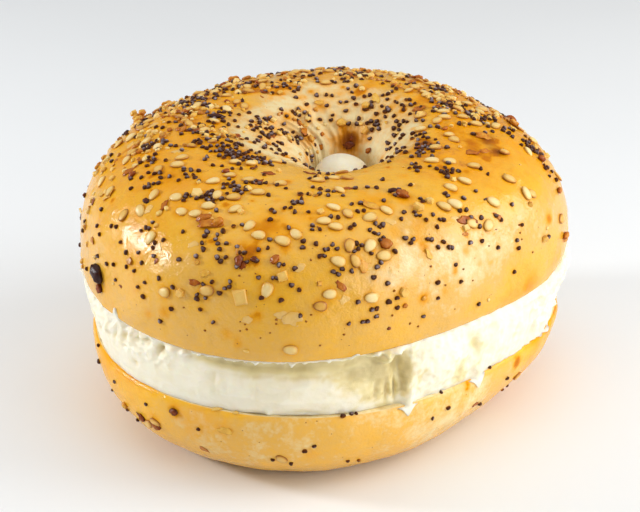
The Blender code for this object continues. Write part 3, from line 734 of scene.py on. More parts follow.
def crust_colour(tree, place, settings, fine, stain, scorch, bounce_gain):
    """Colour of a crust, from its tone, its smears with painted contact shade round the seeds, burnt spots,
    specks and cut crumb, brightened all over by a factor of painted light.
    """
    wide = noise_node(tree, place, 14 * MM, 3)
    middle = noise_node(tree, place, 4.2 * MM, 4, 0.6, 0.4)
    tone = 0.0
    for layer, share in ((wide, 0.26), (middle, 0.50), (fine, 0.32)):
        part = calculate(tree, "MULTIPLY_ADD", layer, share, -share / 2)
        tone = calculate(tree, "ADD", tone, part)
    tone = calculate(tree, "ADD", tone, attribute(tree, "bake"), clamp=True)
    colour = colour_ramp(tree, tone, (
        (0.0, settings.pale_colour), (0.25, settings.tan_colour), (0.55, settings.gold_colour),
        (0.85, settings.amber_colour), (1.0, settings.brown_colour)))
    heart = ramp_value(tree, attribute(tree, "stain"), 0.5, 1.1)
    cells = make_node(tree, "ShaderNodeTexVoronoi", {"Vector": place, "Scale": 1 / (2.3 * MM)})
    dot = calculate(tree, "LESS_THAN", cells.outputs["Distance"], 0.075)
    rare = calculate(tree, "GREATER_THAN", cells.outputs["Color"], 0.55)
    speck = calculate(tree, "MULTIPLY", calculate(tree, "MULTIPLY", dot, rare), 0.7)
    # The smear strength also holds the painted contact shade round the seeds
    for share, layer in ((stain, settings.amber_colour), (heart, settings.brown_colour),
                         (scorch, settings.scorch_colour), (speck, settings.speck_colour)):
        colour = blend_colour(tree, share, colour, layer)
    # Painted light: the whole colour is multiplied up, on the bottom crust for the floor's bounce light
    colour = blend_colour(tree, 1.0, colour, (bounce_gain, bounce_gain, bounce_gain), "MULTIPLY")
    pores = noise_node(tree, place, 1.4 * MM, 4, 0.65)
    crumb = colour_ramp(tree, pores, ((0.3, settings.crumb_shade_colour), (0.6, settings.crumb_colour)))
    return blend_colour(tree, attribute(tree, "crumb"), colour, crumb)


def crust_roughness(tree, place):
    """Roughness of a crust: glossy where baked, duller where pale, dull on the crumb."""
    rough = map_value(tree, noise_node(tree, place, 2.2 * MM, 5, 0.7), (0.3, 0.7), (0.12, 0.24))
    crumb = calculate(tree, "MULTIPLY", attribute(tree, "crumb"), 0.9)
    rough = calculate(tree, "MAXIMUM", rough, crumb)
    unbaked = calculate(tree, "SUBTRACT", 1.0, ramp_value(tree, attribute(tree, "bake"), 0.03, 0.20))
    return calculate(tree, "ADD", rough, calculate(tree, "MULTIPLY", unbaked, 0.35), clamp=True)


def crust_material(name, settings, shine, bounce_gain):
    """Baked crust: mottled gold, amber smears, scorched spots, specks, a soft shine, and a factor of
    painted bounce light.
    """
    material, tree, shader, place = new_material(
        name, Subsurface_Weight=0.05, Subsurface_Radius=(1.0, 0.5, 0.2),
        Subsurface_Scale=1.4 * MM, IOR=1.5, Specular_IOR_Level=shine)
    fine = noise_node(tree, place, 1.1 * MM, 3, 0.6)
    skin = noise_node(tree, place, 0.55 * MM, 4, 0.65)
    dimples = make_node(tree, "ShaderNodeTexVoronoi", {
        "Vector": place, "Scale": 1 / (1.25 * MM)}, feature="SMOOTH_F1").outputs["Distance"]
    stain = calculate(tree, "MULTIPLY", attribute(tree, "stain"), 1.3, clamp=True)
    scorch = attribute(tree, "scorch")
    marks = calculate(tree, "MAXIMUM", stain, scorch)
    feed(tree, shader,
         Base_Color=crust_colour(tree, place, settings, fine, stain, scorch, bounce_gain),
         Specular_IOR_Level=calculate(tree, "MULTIPLY_ADD", marks, -0.85 * shine, shine),
         Roughness=crust_roughness(tree, place),
         Normal=bumped(tree, ((skin, 0.065 * MM), (dimples, 0.05 * MM), (fine, 0.09 * MM))))
    return material


def cheese_material(settings):
    """Soft spread cheese, glowing where it is thick, with painted yellowish shade in its folds and hollows.
    """
    material, tree, shader, place = new_material(
        "soft_cheese", Subsurface_Weight=0.55, Subsurface_Radius=(1.0, 0.85, 0.55),
        Subsurface_Scale=2.6 * MM, Coat_Weight=0.08, Coat_Roughness=0.35, Specular_IOR_Level=0.45)
    cloud = noise_node(tree, place, 6 * MM, 4, 0.6, 0.6)
    colour = colour_ramp(tree, cloud, ((0.30, settings.cream_colour), (0.55, settings.white_colour)))
    # Painted shade: folds and hollows are coloured yellowish, the deepest clefts darker still
    fold = attribute(tree, "fold")
    colour = blend_colour(tree, ramp_value(tree, fold, 0.0, 0.6), colour, settings.fold_shade_colour)
    colour = blend_colour(tree, ramp_value(tree, fold, 0.55, 1.1), colour, settings.cleft_shade_colour)
    rough = noise_node(tree, place, 2.0 * MM, 4, 0.6)
    stretched = make_node(tree, "ShaderNodeMapping", {
        "Vector": place, "Scale": (0.35, 0.35, 1.9)}).outputs[0]
    smear = noise_node(tree, stretched, 1.6 * MM, 4, 0.6)
    grain = noise_node(tree, place, 0.5 * MM, 4, 0.65)
    feed(tree, shader, Base_Color=colour,
         Roughness=map_value(tree, rough, (0.3, 0.7), (0.30, 0.50)),
         Normal=bumped(tree, ((smear, 0.12 * MM), (grain, 0.07 * MM))))
    return material


def seed_material(name, stops, speckle, depth, edge, **constants):
    """Finish of small pieces, coloured by the tint that each carries and darkened by painted shade at their
    rim and underside.
    """
    material, tree, shader, place = new_material(name, **constants)
    mottle = noise_node(tree, place, speckle, 3, 0.6)
    tint = calculate(tree, "ADD", attribute(tree, "tint"),
                     calculate(tree, "MULTIPLY_ADD", mottle, 0.3, -0.15))
    # Painted shade: the rim value darkens each piece towards its outline and underside, leaving its top
    # lighter as a painted highlight
    rim = calculate(tree, "MULTIPLY", attribute(tree, "rim"), edge)
    relief = noise_node(tree, place, speckle * 0.6, 3, 0.6)
    feed(tree, shader, Normal=bumped(tree, ((relief, depth),)),
         Base_Color=colour_ramp(tree, calculate(tree, "ADD", tint, rim, clamp=True), stops))
    return material


def colour_setting(name, description, default):
    """Property with a colour."""
    return bpy.props.FloatVectorProperty(
        name=name, description=description, subtype="COLOR", size=3, min=0, max=1, default=default)


def length_setting(name, description, default):
    """Property with a length in metres."""
    return bpy.props.FloatProperty(
        name=name, description=description, default=default, min=0, unit="LENGTH")


def angle_setting(name, description, degrees):
    """Property with an angle, whose default is given in degrees."""
    return bpy.props.FloatProperty(
        name=name, description=description, default=math.radians(degrees), subtype="ANGLE")


def strength_setting(name, description, default):
    """Property with a plain number of nought or more."""
    return bpy.props.FloatProperty(name=name, description=description, default=default, min=0)


def count_setting(name, description, default):
    """Property with a whole number of nought or more."""
    return bpy.props.IntProperty(name=name, description=description, default=default, min=0)


class BagelCrustSettings(bpy.types.PropertyGroup):
    """Colours of the two crusts."""

    pale_colour: colour_setting(
        "Pale", "Crust that the heat hardly reached, as in the hole", (0.76, 0.625, 0.33))
    tan_colour: colour_setting("Tan", "Lightly baked crust", (0.74, 0.41, 0.075))
    gold_colour: colour_setting("Gold", "Well baked crust", (0.82, 0.42, 0.018))
    amber_colour: colour_setting("Amber", "Smears and the darkest even crust", (0.79, 0.325, 0.001))
    brown_colour: colour_setting("Brown", "Hearts of the smears", (0.48, 0.13, 0.001))
    scorch_colour: colour_setting("Scorched", "Burnt spots", (0.16, 0.036, 0.003))
    speck_colour: colour_setting("Specks", "Tiny brown specks", srgb(150, 84, 30))
    crumb_colour: colour_setting("Crumb", "Cut crumb", (0.86, 0.72, 0.40))
    crumb_shade_colour: colour_setting("Crumb shade", "Pores of the cut crumb", (0.76, 0.55, 0.24))


class BagelCheeseSettings(bpy.types.PropertyGroup):
    """Colours and relief of the cheese."""

    white_colour: colour_setting("White", "Fresh cheese", (0.93, 0.865, 0.70))
    cream_colour: colour_setting("Cream", "Creamier patches", (0.89, 0.81, 0.60))
    # Painted shade: the yellowish colours of the folds, hollows and deepest clefts of the cheese
    fold_shade_colour: colour_setting("Folds", "Depths of folds and hollows", (0.80, 0.68, 0.36))
    cleft_shade_colour: colour_setting("Depths", "Deepest clefts of the cheese", (0.56, 0.445, 0.20))
    smear_height: length_setting("Smear height", "Height of the knife's ridges", 0.09 * MM)
    tear_height: length_setting("Tear height", "Height of the torn, crumbly relief", 1.1 * MM)


class BagelToppingSettings(bpy.types.PropertyGroup):
    """Sizes and numbers of the seeds and bits."""

    poppy_size: length_setting("Poppy seed", "Length of a poppy seed", 1.27 * MM)
    sesame_size: length_setting("Sesame seed", "Length of a sesame seed", 3.35 * MM)
    sesame_count: count_setting("More sesame seeds", "Sesame seeds besides those that stand out", 420)
    flake_count: count_setting(
        "More onion flakes", "Small flakes and bits besides those that stand out", 230)
    bit_count: count_setting("Garlic bits", "Granules of garlic besides those that stand out", 900)
    seed: count_setting("Seed", "Start of every random draw", 23)


class BagelStageSettings(bpy.types.PropertyGroup):
    """Camera, lights and floor."""

    distance: length_setting("Camera distance", "From the aim point", 450 * MM)
    elevation: angle_setting("Camera elevation", "Above the horizon", 25.29)
    aim_raise: angle_setting("Aim raised by", "Turn of the view above the aim point", 0.87)
    lens: strength_setting("Lens", "Focal length on a 36 mm sensor, in mm", 103.8)
    key_power: strength_setting("Right light", "Power in watts", 2.55)
    near_power: strength_setting("Near light", "Power in watts", 1.05)
    side_power: strength_setting("Left light", "Power in watts", 2.1)
    top_power: strength_setting("Top light", "Power in watts", 2.1)
    front_sky: strength_setting(
        "Room light in front", "Strength of the room's light behind the camera", 0.35)
    back_sky: strength_setting(
        "Room light at the back", "Strength of the room's light behind the bagel", 0.36)
    floor_colour: colour_setting("Floor", "Colour of the floor", srgb(237, 240, 243))


def top_bake(points, angle, place):
    """How deeply each point of the top crust is baked, and where it is made paler as a painted sheen."""
    bake = 0.34 + 0.14 * ease(place, 1.15, 1.75)
    bake += zone(angle, place, 0.34, (330, 410, 40), (1.2, 1.6))
    bake += zone(angle, place, 0.24, (150, 222, 30), (0.95, 1.5))
    bake += zone(angle, place, 0.22, (322, 356, 20), (1.25, 0.9))
    bake += zone(angle, place, 0.10, (190, 215, 12), (1.2, 0.9))
    rim = 2.14 + 0.24 * window(angle, 238, 305, 25) - 0.08 * window(angle, 45, 110, 25)
    baked = 1 - 0.95 * ease(place, rim - 0.18, rim + 0.16)
    bake = bake * baked
    bake += (0.14 * noise_field(points, 20 * MM, 21) + 0.10 * noise_field(points, 7 * MM, 22)) * baked
    bake += 0.12 * (1 - ease(place, 0.0, 0.12))
    bake += zone(angle, place, 0.10, (205, 285, 20), (1.35, 1.1))
    # Painted sheen: the crust is made paler at the right front, where the right light's shine falls
    bake -= zone(angle, place, 0.14, (292, 334, 20), (0.95, 1.15), (1.75, 1.55))
    bake -= zone(angle, place, 0.14, (50, 130, 20), (1.6, 1.85)) * baked
    return bake.clip(0, 1)


def bottom_bake(points, angle, place):
    """How deeply each point of the bottom crust is baked."""
    bake = 0.30 + 0.14 * (1 - ease(place, 1.1, 1.5))
    for amount, *span in ((0.30, 180, 222, 22), (0.40, 343, 380, 14), (0.14, 20, 180, 20)):
        bake = bake + amount * window(angle, *span)
    bake += zone(angle, place, 0.16, (190, 250, 20), (1.9, 2.6))
    bake += zone(angle, place, 0.16, (320, 360, 15), (1.9, 2.6))
    bake -= zone(angle, place, 0.10, (262, 314, 16), (1.3, 1.7))
    bake += 0.12 * noise_field(points, 16 * MM, 31) + 0.08 * noise_field(points, 6 * MM, 32)
    return bake.clip(0, 1)


def smear_density(points, angle, place):
    """Loose amber smears per square centimetre on the top."""
    spread = np.interp(place, (0.9, 1.2, 1.6, 1.9, 2.3, 2.9), (0.3, 0.6, 1.6, 2.2, 2.0, 1.4))
    front = zone(angle, place, 0.72, (205, 322, 10), (1.8, 1.6))
    right = zone(angle, place, 0.6, (318, 372, 10), (1.6, 1.3))
    return spread * (1 - front) * (1 - right)


def loose_smears(seed):
    """Small amber smears strewn over the top: angle in degrees, place, reach in mm, strength."""
    draw = np.random.default_rng(seed)
    angle, place = drawn_places(top_form, smear_density, 0.9, 2.9, draw)
    reach = 0.5 + 1.5 * draw.beta(1.3, 2.4, len(angle))
    strength = draw.uniform(0.25, 0.95, len(angle))
    return list(zip(np.degrees(angle), place, reach, strength))


class BAGEL_OT_top_crust(bpy.types.Operator):
    """Make the puffed top half with its hole, folds, smears and scorched spots"""

    bl_idname = "bagel.top_crust"
    bl_label = "Top crust"
    bl_options = {"REGISTER", "UNDO"}

    def execute(self, context):
        angles = np.linspace(0, 2 * math.pi, TOP_AROUND, endpoint=False)
        angle, place = np.meshgrid(angles, places_of(TOP_STEPS))
        points, _ = top_surface(angle, place)
        ragged = 1 - ease(np.minimum(place, 5 - place), 0.0, 0.25)
        nick = noise_field(points, 1.6 * MM, 41) * 0.35 + noise_field(points, 5 * MM, 42) * 0.4
        outward = unit(points * LEVEL)
        points = points + outward * (ragged * nick * 0.5 * MM)[..., None]
        points[..., 2] += ragged * nick * 0.7 * MM
        crumb = ease(place, 4.02, 4.12) * (1 - ease(place, 4.96, 4.995))
        toppings = context.scene.bagel_toppings
        # Painted contact shade, partly oil: rings round the sesame and poppy seeds and patches under the
        # poppy drifts darken the crust with amber
        sesame = oil_and_shade_rings(points, sesame_spots(toppings)["point"], 1.4 * MM, 0.55 * MM)
        poppy = oil_and_shade_rings(points, poppy_spots(toppings)["point"], 0.55 * MM, 0.45 * MM)
        drifts = [(degrees, at, spread * 1.6, min(0.45, count / 50))
                  for degrees, at, spread, count in POPPY_DRIFTS]
        stain = patches(top_form, points, (*TOP_STAINS, *loose_smears(toppings.seed + 7)), 51)
        for part in (0.42 * sesame, 0.42 * poppy, patches(top_form, points, drifts, 59)):
            stain = 1 - (1 - stain) * (1 - part)
        mesh = mesh_of("bagel_top_crust", points.reshape(-1, 3), ring_faces(*angle.shape, True), {
            "bake": top_bake(points, angle, place),
            "stain": stain,
            "scorch": patches(top_form, points, TOP_SCORCHES, 53, 2),
            "crumb": crumb})
        material = crust_material("top_crust", context.scene.bagel_crust, 0.6, 1.0)
        add_piece("bagel_top_crust", mesh, material, "crust_top", "bagel_top")
        return {"FINISHED"}


class BAGEL_OT_bottom_crust(bpy.types.Operator):
    """Make the flat bottom half with its pale cut face and its hole"""

    bl_idname = "bagel.bottom_crust"
    bl_label = "Bottom crust"
    bl_options = {"REGISTER", "UNDO"}

    def execute(self, context):
        angles = np.linspace(0, 2 * math.pi, BOTTOM_AROUND, endpoint=False)
        angle, place = np.meshgrid(angles, places_of(BOTTOM_STEPS))
        points, _ = bottom_surface(angle, place)
        ragged = 1 - ease(np.abs(place - 3), 0.0, 0.12)
        nick = noise_field(points, 1.4 * MM, 43) * 0.4 + noise_field(points, 6 * MM, 44) * 0.5
        points[..., 2] += ragged * nick * 0.5 * MM
        strip = 0.20 * window(angle, 236, 300, 8)
        crumb = ease(place, 2.93 - strip, 3.0 - strip) * (1 - ease(place, 4.0, 4.3))
        mesh = mesh_of("bagel_bottom_crust", points.reshape(-1, 3), ring_faces(*angle.shape, True), {
            "bake": bottom_bake(points, angle, place),
            "stain": patches(bottom_form, points, BOTTOM_STAINS, 55),
            "scorch": patches(bottom_form, points, BOTTOM_SCORCHES, 57, 2),
            "crumb": crumb})
        # Painted light: the bottom crust's colour is made 1.12 times brighter for the bounce light from the
        # floor
        material = crust_material("bottom_crust", context.scene.bagel_crust, 0.3, 1.12)
        add_piece("bagel_bottom_crust", mesh, material, "crust_bottom", "bagel_bottom")
        return {"FINISHED"}


# How far the cheese's side stands out in mm at these shares of the way up, for
# directions round the ring in degrees
CHEESE_SHARES = (0.0, 0.12, 0.3, 0.5, 0.7, 0.86, 0.95, 1.0)
CHEESE_PROFILES = (
    (20, -0.6, 0.1, 0.9, 1.3, 1.2, 0.8, 0.4, 0.2),
    (45, -0.4, 0.1, 0.5, 0.5, 0.4, 0.2, 0.0, -0.2),
    (70, -1.2, -0.6, 0.1, 0.3, -0.3, -1.3, -1.0, -0.3),
    (95, -0.5, 0.2, 0.8, 0.8, 0.5, 0.4, 0.8, 0.7),
    (120, -0.2, 0.6, 1.1, 1.0, 0.6, 0.2, 0.0, -0.2),
    (150, -0.8, -0.4, 0.2, 0.9, 1.3, 1.2, 1.0, 0.8),
    (172, -1.6, -1.4, -1.0, -0.4, 0.6, 1.3, 1.4, 1.2),
    (186, -1.9, -1.7, -1.1, 0.0, 0.6, 0.8, 0.9, 0.6),
    (196, -1.1, -0.8, -0.3, 0.3, 0.7, 0.8, 0.7, 0.4),
    (203, -0.4, -0.1, 0.2, 0.5, 0.8, 0.8, 0.5, 0.2),
    (212, 0.0, 0.3, 0.5, 0.7, 0.8, 0.5, 0.2, 0.0),
    (228, 0.2, 0.5, 0.7, 0.8, 0.7, 0.3, 0.0, -0.2),
    (236, 0.2, 0.5, 0.7, 0.7, 0.4, -0.2, -0.4, -0.3),
    (241, 0.2, 0.5, 0.7, 0.6, -0.1, -0.9, -1.0, -0.8),
    (247, 0.1, 0.5, 0.7, 0.5, -0.6, -1.5, -1.5, -1.3),
    (254, -0.1, 0.3, 0.6, 0.4, -0.9, -1.7, -1.8, -1.6),
    (264, -0.4, 0.1, 0.6, 0.3, -1.1, -1.8, -1.9, -1.7),
    (272, -0.5, 0.0, 0.4, 0.0, -1.2, -1.8, -1.9, -1.7),
    (279, -0.5, -0.1, 0.2, -0.4, -1.2, -1.7, -1.6, -1.4),
    (286, -1.0, -0.7, -0.3, -0.7, -1.3, -1.4, -0.9, -0.4),
    (289.2, -0.9, -0.7, -0.6, -1.3, -1.8, -1.3, -0.5, 0.0),
    (291.6, -0.1, 0.4, 0.8, 0.9, 0.9, 0.6, 0.3, 0.1),
    (300, 0.0, 0.7, 1.3, 1.7, 1.5, 1.0, 0.6, 0.3),
    (320, -0.1, 0.6, 1.2, 1.6, 1.5, 1.0, 0.6, 0.3),
    (334, 0.3, 0.7, 1.0, 1.3, 1.4, 1.1, 0.7, 0.4),
    (344, 0.3, 0.6, 0.8, 1.1, 1.5, 1.4, 1.0, 0.6),
    (350, 0.0, 0.2, 0.5, 0.9, 1.5, 1.7, 1.4, 1.0),
    (356, -0.9, -0.6, 0.0, 0.8, 1.6, 2.0, 1.8, 1.4),
    (366, -1.0, -0.6, 0.2, 1.3, 2.1, 2.1, 1.6, 1.1),
)
# Lumps and hollows of the cheese: direction, share of the way up, half width and
# half height in mm, and how far each stands out in mm
CHEESE_SWELLS = (
    (264, 0.30, 7.0, 2.4, 0.45), (252, 0.50, 6.0, 2.6, 0.20), (190, 1.03, 1.0, 0.8, 1.6),
    (285.3, 0.84, 1.9, 1.1, 3.3), (283, 0.95, 1.2, 0.7, 1.8), (278, 1.03, 1.0, 0.8, 1.6),
    (288, 0.95, 2.0, 0.9, 2.0), (302, 0.45, 7.0, 4.5, 0.5), (320, 0.60, 6.0, 3.5, 0.3),
    (314, 0.02, 1.4, 2.6, 0.7), (313.5, 0.22, 1.0, 2.0, 0.4),
    (291.0, 0.10, 1.2, 3.4, 1.0), (288.6, 0.62, 1.6, 2.4, -1.0), (290.2, 0.42, 0.8, 1.4, 0.8),
    (287.6, 0.30, 0.45, 2.4, -1.3), (286.5, 0.34, 0.5, 1.8, 0.5), (285.3, 0.26, 0.4, 2.0, -1.0),
    (283.9, 0.34, 0.8, 2.0, 0.5), (282.4, 0.30, 0.35, 1.6, -0.5),
    (247.5, 0.50, 0.5, 2.4, -0.26), (250.2, 0.46, 0.5, 2.0, -0.22), (256.5, 0.42, 0.4, 1.8, -0.2),
    (233.5, 0.84, 0.9, 1.1, -1.5), (229.5, 0.87, 1.2, 1.0, -0.9), (226, 0.82, 0.7, 0.9, -0.9),
    (236.5, 0.86, 1.3, 1.0, 0.9), (239.5, 0.88, 1.0, 0.8, 0.8), (222, 0.74, 0.8, 1.0, -0.8),
    (218, 0.58, 0.8, 1.3, -0.8), (214, 0.66, 0.7, 1.2, 0.7), (209, 0.45, 0.8, 1.5, -0.9),
    (204, 0.62, 0.8, 1.6, -0.8), (226, 0.36, 1.1, 0.8, -0.5),
    (310.5, 0.66, 1.6, 2.2, -0.9), (309, 0.38, 1.3, 1.2, -0.8), (305.8, 0.30, 1.5, 1.0, -0.6),
    (316, 0.80, 1.8, 0.9, -0.4), (327, 0.45, 0.7, 2.0, -0.5), (333, 0.60, 0.7, 2.4, -0.6),
    (338, 0.35, 0.8, 2.2, 0.7), (347, 0.75, 0.8, 1.4, -0.8), (361, 0.62, 2.4, 2.8, 0.6),
    (354, 0.22, 1.0, 1.2, 0.9), (359, 0.08, 0.8, 0.9, 0.9),
    (266, 0.07, 4.5, 0.7, -0.6), (259, 0.03, 0.7, 0.9, 0.6),
)
# Points of cheese drawn out past the lower and the upper cut edge: direction, half
# width in mm, reach in mm
DROPS = ((290.6, 1.1, 2.0), (290.6, 3.4, 0.5), (313.8, 1.3, 2.0), (313.8, 3.2, 0.6),
         (348, 2.2, 0.9), (344, 1.2, 0.5), (72, 2.0, 1.5), (118, 1.6, 1.8), (152, 2.4, 0.9),
         (30, 3.0, 0.8))
PEAKS = ((218.8, 1.0, 2.4), (218.2, 2.2, 0.7), (194, 1.0, 1.6), (203, 1.4, 0.6), (278, 1.0, 0.9),
         (210, 0.8, 0.5), (285.5, 1.6, 0.35), (344, 1.4, 0.7), (352, 1.5, 0.9), (360, 2.0, 1.2),
         (95, 1.2, 1.4), (140, 1.6, 1.6), (48, 1.2, 1.0))
# Torn white tips that hang over the hollow under the upper edge: direction, half
# width and length in mm
TATTERS = ((243.6, 1.6, 0.9), (246.6, 2.6, 0.6), (250.2, 1.5, 0.8), (254.4, 1.0, 0.9),
           (256.4, 1.8, 1.2), (261.0, 2.2, 0.5), (264.0, 1.3, 1.7), (268.5, 2.4, 0.6),
           (272.0, 1.3, 0.9), (277.0, 2.6, 0.9), (281.5, 1.6, 0.7), (285.4, 2.0, 1.6),
           (288.0, 1.2, 1.2))
# Patches of painted yellowish shade, mostly in the hollows of the cheese: direction, share of the way up,
# reach in mm, strength
CHEESE_SHADE_POCKETS = (
    (310.5, 0.66, 2.4, 0.65), (305.6, 0.32, 2.4, 0.85), (233.5, 0.84, 1.0, 0.8),
    (229.5, 0.87, 1.0, 0.5),
    (222, 0.74, 0.9, 0.5), (218, 0.58, 1.0, 0.45), (209, 0.45, 1.1, 0.45), (203, 0.45, 1.6, 0.35),
    (226, 0.36, 1.0, 0.4), (287.6, 0.24, 1.0, 0.7), (285.3, 0.24, 0.8, 0.5), (290.2, 0.62, 1.8, 0.7),
    (344, 0.45, 1.0, 0.4), (350, 0.6, 1.0, 0.35), (327, 0.5, 1.0, 0.3),
    (278, 0.66, 4.6, 0.9), (284, 0.56, 4.8, 1.0), (288.4, 0.5, 3.4, 1.0),
    (289.8, 0.70, 1.6, 0.6), (312.5, 0.50, 2.4, 0.4), (308, 0.22, 2.0, 0.7), (322, 0.3, 1.6, 0.35),
)


def cheese_base(angle, share):
    """Broad profile of the cheese's side, in mm outside the line between the cut edges."""
    table = np.array(CHEESE_PROFILES)
    table = np.concatenate((table, table[:1] + np.array([360.0] + [0.0] * len(CHEESE_SHARES))))
    degrees = np.degrees(angle) % 360
    degrees = np.where(degrees < table[0, 0], degrees + 360, degrees)
    columns = np.stack([np.interp(degrees, table[:, 0], values) for values in table[:, 1:].T])
    marks = np.array(CHEESE_SHARES)
    upper = np.searchsorted(marks, share, side="right").clip(1, len(marks) - 1)
    part = (share - marks[upper - 1]) / (marks[upper] - marks[upper - 1])
    part = part * part * (3 - 2 * part)
    low = np.take_along_axis(columns, (upper - 1)[None], 0)[0]
    high = np.take_along_axis(columns, upper[None], 0)[0]
    return low + (high - low) * part


def cheese_offset(angle, share, points, settings):
    """How far the cheese's side stands out from the line between the cut edges, in mm."""
    height = (TOP_CUT_Z - BOTTOM_CUT_Z) / MM
    wobble = 0.05 * noise_field(points * LEVEL, 5 * MM, 60)
    out = cheese_base(angle, (share + wobble * np.sin(math.pi * share)).clip(0, 1))
    middle = window(angle, 243, 288, 3)
    tip = 0.45 + 0.5 * noise_field(points * LEVEL, 1.5 * MM, 68).clip(-0.5, 1)
    for degrees, half_width, length in TATTERS:
        across = np.abs(np.radians(turn_between(angle, degrees)) / (half_width * MM / TOP_EDGE_RADIUS))
        tip = np.maximum(tip, length * (1 - across).clip(0) ** 1.4)
    below_edge = (1 - share) * height
    lip = (1 - ease(below_edge, tip, tip + 0.35)) * middle
    hang = 0.1 + 0.4 * noise_field(points, 1.2 * MM, 69)
    out = out * (1 - lip) + hang * lip
    upper = ease(share, 0.35, 0.6)
    torn = np.maximum.reduce((
        window(angle, 176, 232, 10) * (0.16 + 0.50 * upper), window(angle, 338, 385, 8),
        window(angle, 120, 165, 12), 0.16 * middle, 0.34 * window(angle, 292, 338, 4)))
    torn = np.maximum(torn, 0.14)
    crag = 0.42 - np.abs(noise_field(points, 3.2 * MM, 61)) * 2.2
    crumble = 0.26 - np.abs(noise_field(points, 1.25 * MM, 62)) * 1.2
    slow = noise_field(points, 7 * MM, 63)
    tear = settings.tear_height / MM
    out = out + torn * tear * (crag * 0.75 + crumble * 0.5) + 0.25 * slow
    right = window(angle, 292, 352, 6)
    level = noise_field(points * np.array((0.3, 0.3, 2.2)), 2.4 * MM, 64)
    upright = noise_field(points * np.array((1.6, 1.6, 0.45)), 2.0 * MM, 70)
    out = out + settings.smear_height / MM * (level * (1 - right) + 1.9 * upright * right)
    for degrees, middle_share, half_width, half_height, stands in CHEESE_SWELLS:
        across = np.radians(turn_between(angle, degrees)) / (half_width * MM / TOP_EDGE_RADIUS)
        up = (share - middle_share) * height / half_height
        out = out + stands * np.exp(-(across ** 2 + up ** 2))
    return out


def reach_of(angle, tips, base, ragged):
    """Reach of the cheese past a cut edge in mm, from its tips and a ragged edge."""
    reach = base + ragged
    for degrees, half_width, length in tips:
        across = np.radians(turn_between(angle, degrees)) / (half_width * MM / TOP_EDGE_RADIUS)
        reach = reach + length * np.exp(-np.abs(across) ** 1.6)
    return reach


def swelling(past, height, width):
    """How far a crust stands out past its cut edge, in mm, at a distance from it in mm."""
    share = (1 - past * MM / height).clip(0, 1)
    return width / MM * np.sqrt(1 - share * share)


def low_spot(angle, share):
    """Point between the cut edges, on which a patch of painted shade in the cheese is centred."""
    low = bottom_form(angle, 3.0)
    return low + (top_form(angle, 5.0) - low) * share


def cheese_side(angles, settings):
    """Rows of points up the cheese's outer side, and how much painted shade each one gets from its depth in
    a hollow and from the shade patches.
    """
    angle, share = np.meshgrid(angles, np.linspace(0, 1, FILLING_STEPS))
    low = bottom_form(angle, 3.0)
    high = top_form(angle, 5.0)
    rim = low[0]
    right = window(angles, 290, 336, 4)
    ragged = 0.16 * noise_field(rim, 2.2 * MM, 65)
    down = reach_of(angles, DROPS, -0.06 + 0.10 * right, ragged)
    ragged = 0.35 * noise_field(rim, 2.0 * MM, 66)
    up = reach_of(angles, PEAKS, -0.05 + 0.15 * right, ragged)
    gap = (high[..., 2] - low[..., 2]) / MM
    rise = -down + share * (gap + down + up)
    points = low + (high - low) * (rise / gap).clip(0, 1)[..., None]
    points[..., 2] = low[..., 2] + rise * MM
    offset = cheese_offset(angle, share, points, settings)
    # Painted shade: the further the side lies behind the line between the cut edges, the more yellowish
    # shade it gets
    hollow = ease(-offset, 0.05, 1.9)
    over_top = (rise - gap).clip(0)
    over_bottom = (-rise).clip(0)
    belly = swelling(over_top, TOP_BELLY, TOP_RADIUS - TOP_EDGE_RADIUS)
    belly = belly + swelling(over_bottom, BOTTOM_BELLY, BOTTOM_RADIUS - BOTTOM_EDGE_RADIUS)
    spill = np.maximum(ease(over_top, 0, 0.4), ease(over_bottom, 0, 0.4))
    offset = np.maximum(offset, 0.35 + belly) * spill + offset * (1 - spill)
    offset = offset - 0.3 * (1 - ease(1 - share, 0, 0.05))
    points = points + level_way(angle) * (offset * MM)[..., None]
    cloud = 0.75 + 0.5 * noise_field(points, 3 * MM, 75)
    # Painted shade in patches, mostly in the hollows
    shade_pocket = patches(low_spot, points, CHEESE_SHADE_POCKETS, 76, 2)
    return points, np.maximum(0.95 * hollow * cloud, shade_pocket).clip(0, 1)


def cheese_ends(angles):
    """Rows of the cheese under its side and over it, up to the dome, with its two poles."""
    outward = level_way(angles)

    def ring(form, place, inset, lift):
        row = form(angles, place) - outward * inset
        row[:, 2] += lift
        return row

    lower = [
        ring(bottom_form, 4.0, 0.45 * MM, CLEARANCE),
        ring(bottom_form, 3.5, 0.0, CLEARANCE),
        ring(bottom_form, 3.0, 4.0 * MM, CLEARANCE)]
    upper = [
        ring(top_form, 5.0, 4.0 * MM, -CLEARANCE),
        ring(top_form, 4.5, 0.0, -CLEARANCE),
        ring(top_form, 4.0, 0.7 * MM, -CLEARANCE)]
    throat = ring(top_form, 3.0, 0.7 * MM, 0.0)
    upper += [(upper[-1] + throat) / 2, throat]
    middle = np.array((HOLE_SHIFT[0] - 0.3 * MM, HOLE_SHIFT[1], DOME_TOP_Z))
    dome_foot = throat[:, 2].mean()
    for turn in np.radians(np.arange(8, 89, 8)):
        row = middle + (throat - middle) * math.cos(turn) ** 0.85
        row[:, 2] = dome_foot + (DOME_TOP_Z - dome_foot) * math.sin(turn)
        upper.append(row + 0.3 * MM * outward * noise_field(row, 5 * MM, 67)[:, None])
    sag = np.array((0.0, 0.0, BOTTOM_CUT_Z - FILLING_SAG))
    first = lower[0] + (sag - lower[0]) * 0.35
    first[:, 2] = BOTTOM_CUT_Z - 0.7 * FILLING_SAG
    return [first, *lower], upper, (sag, middle)


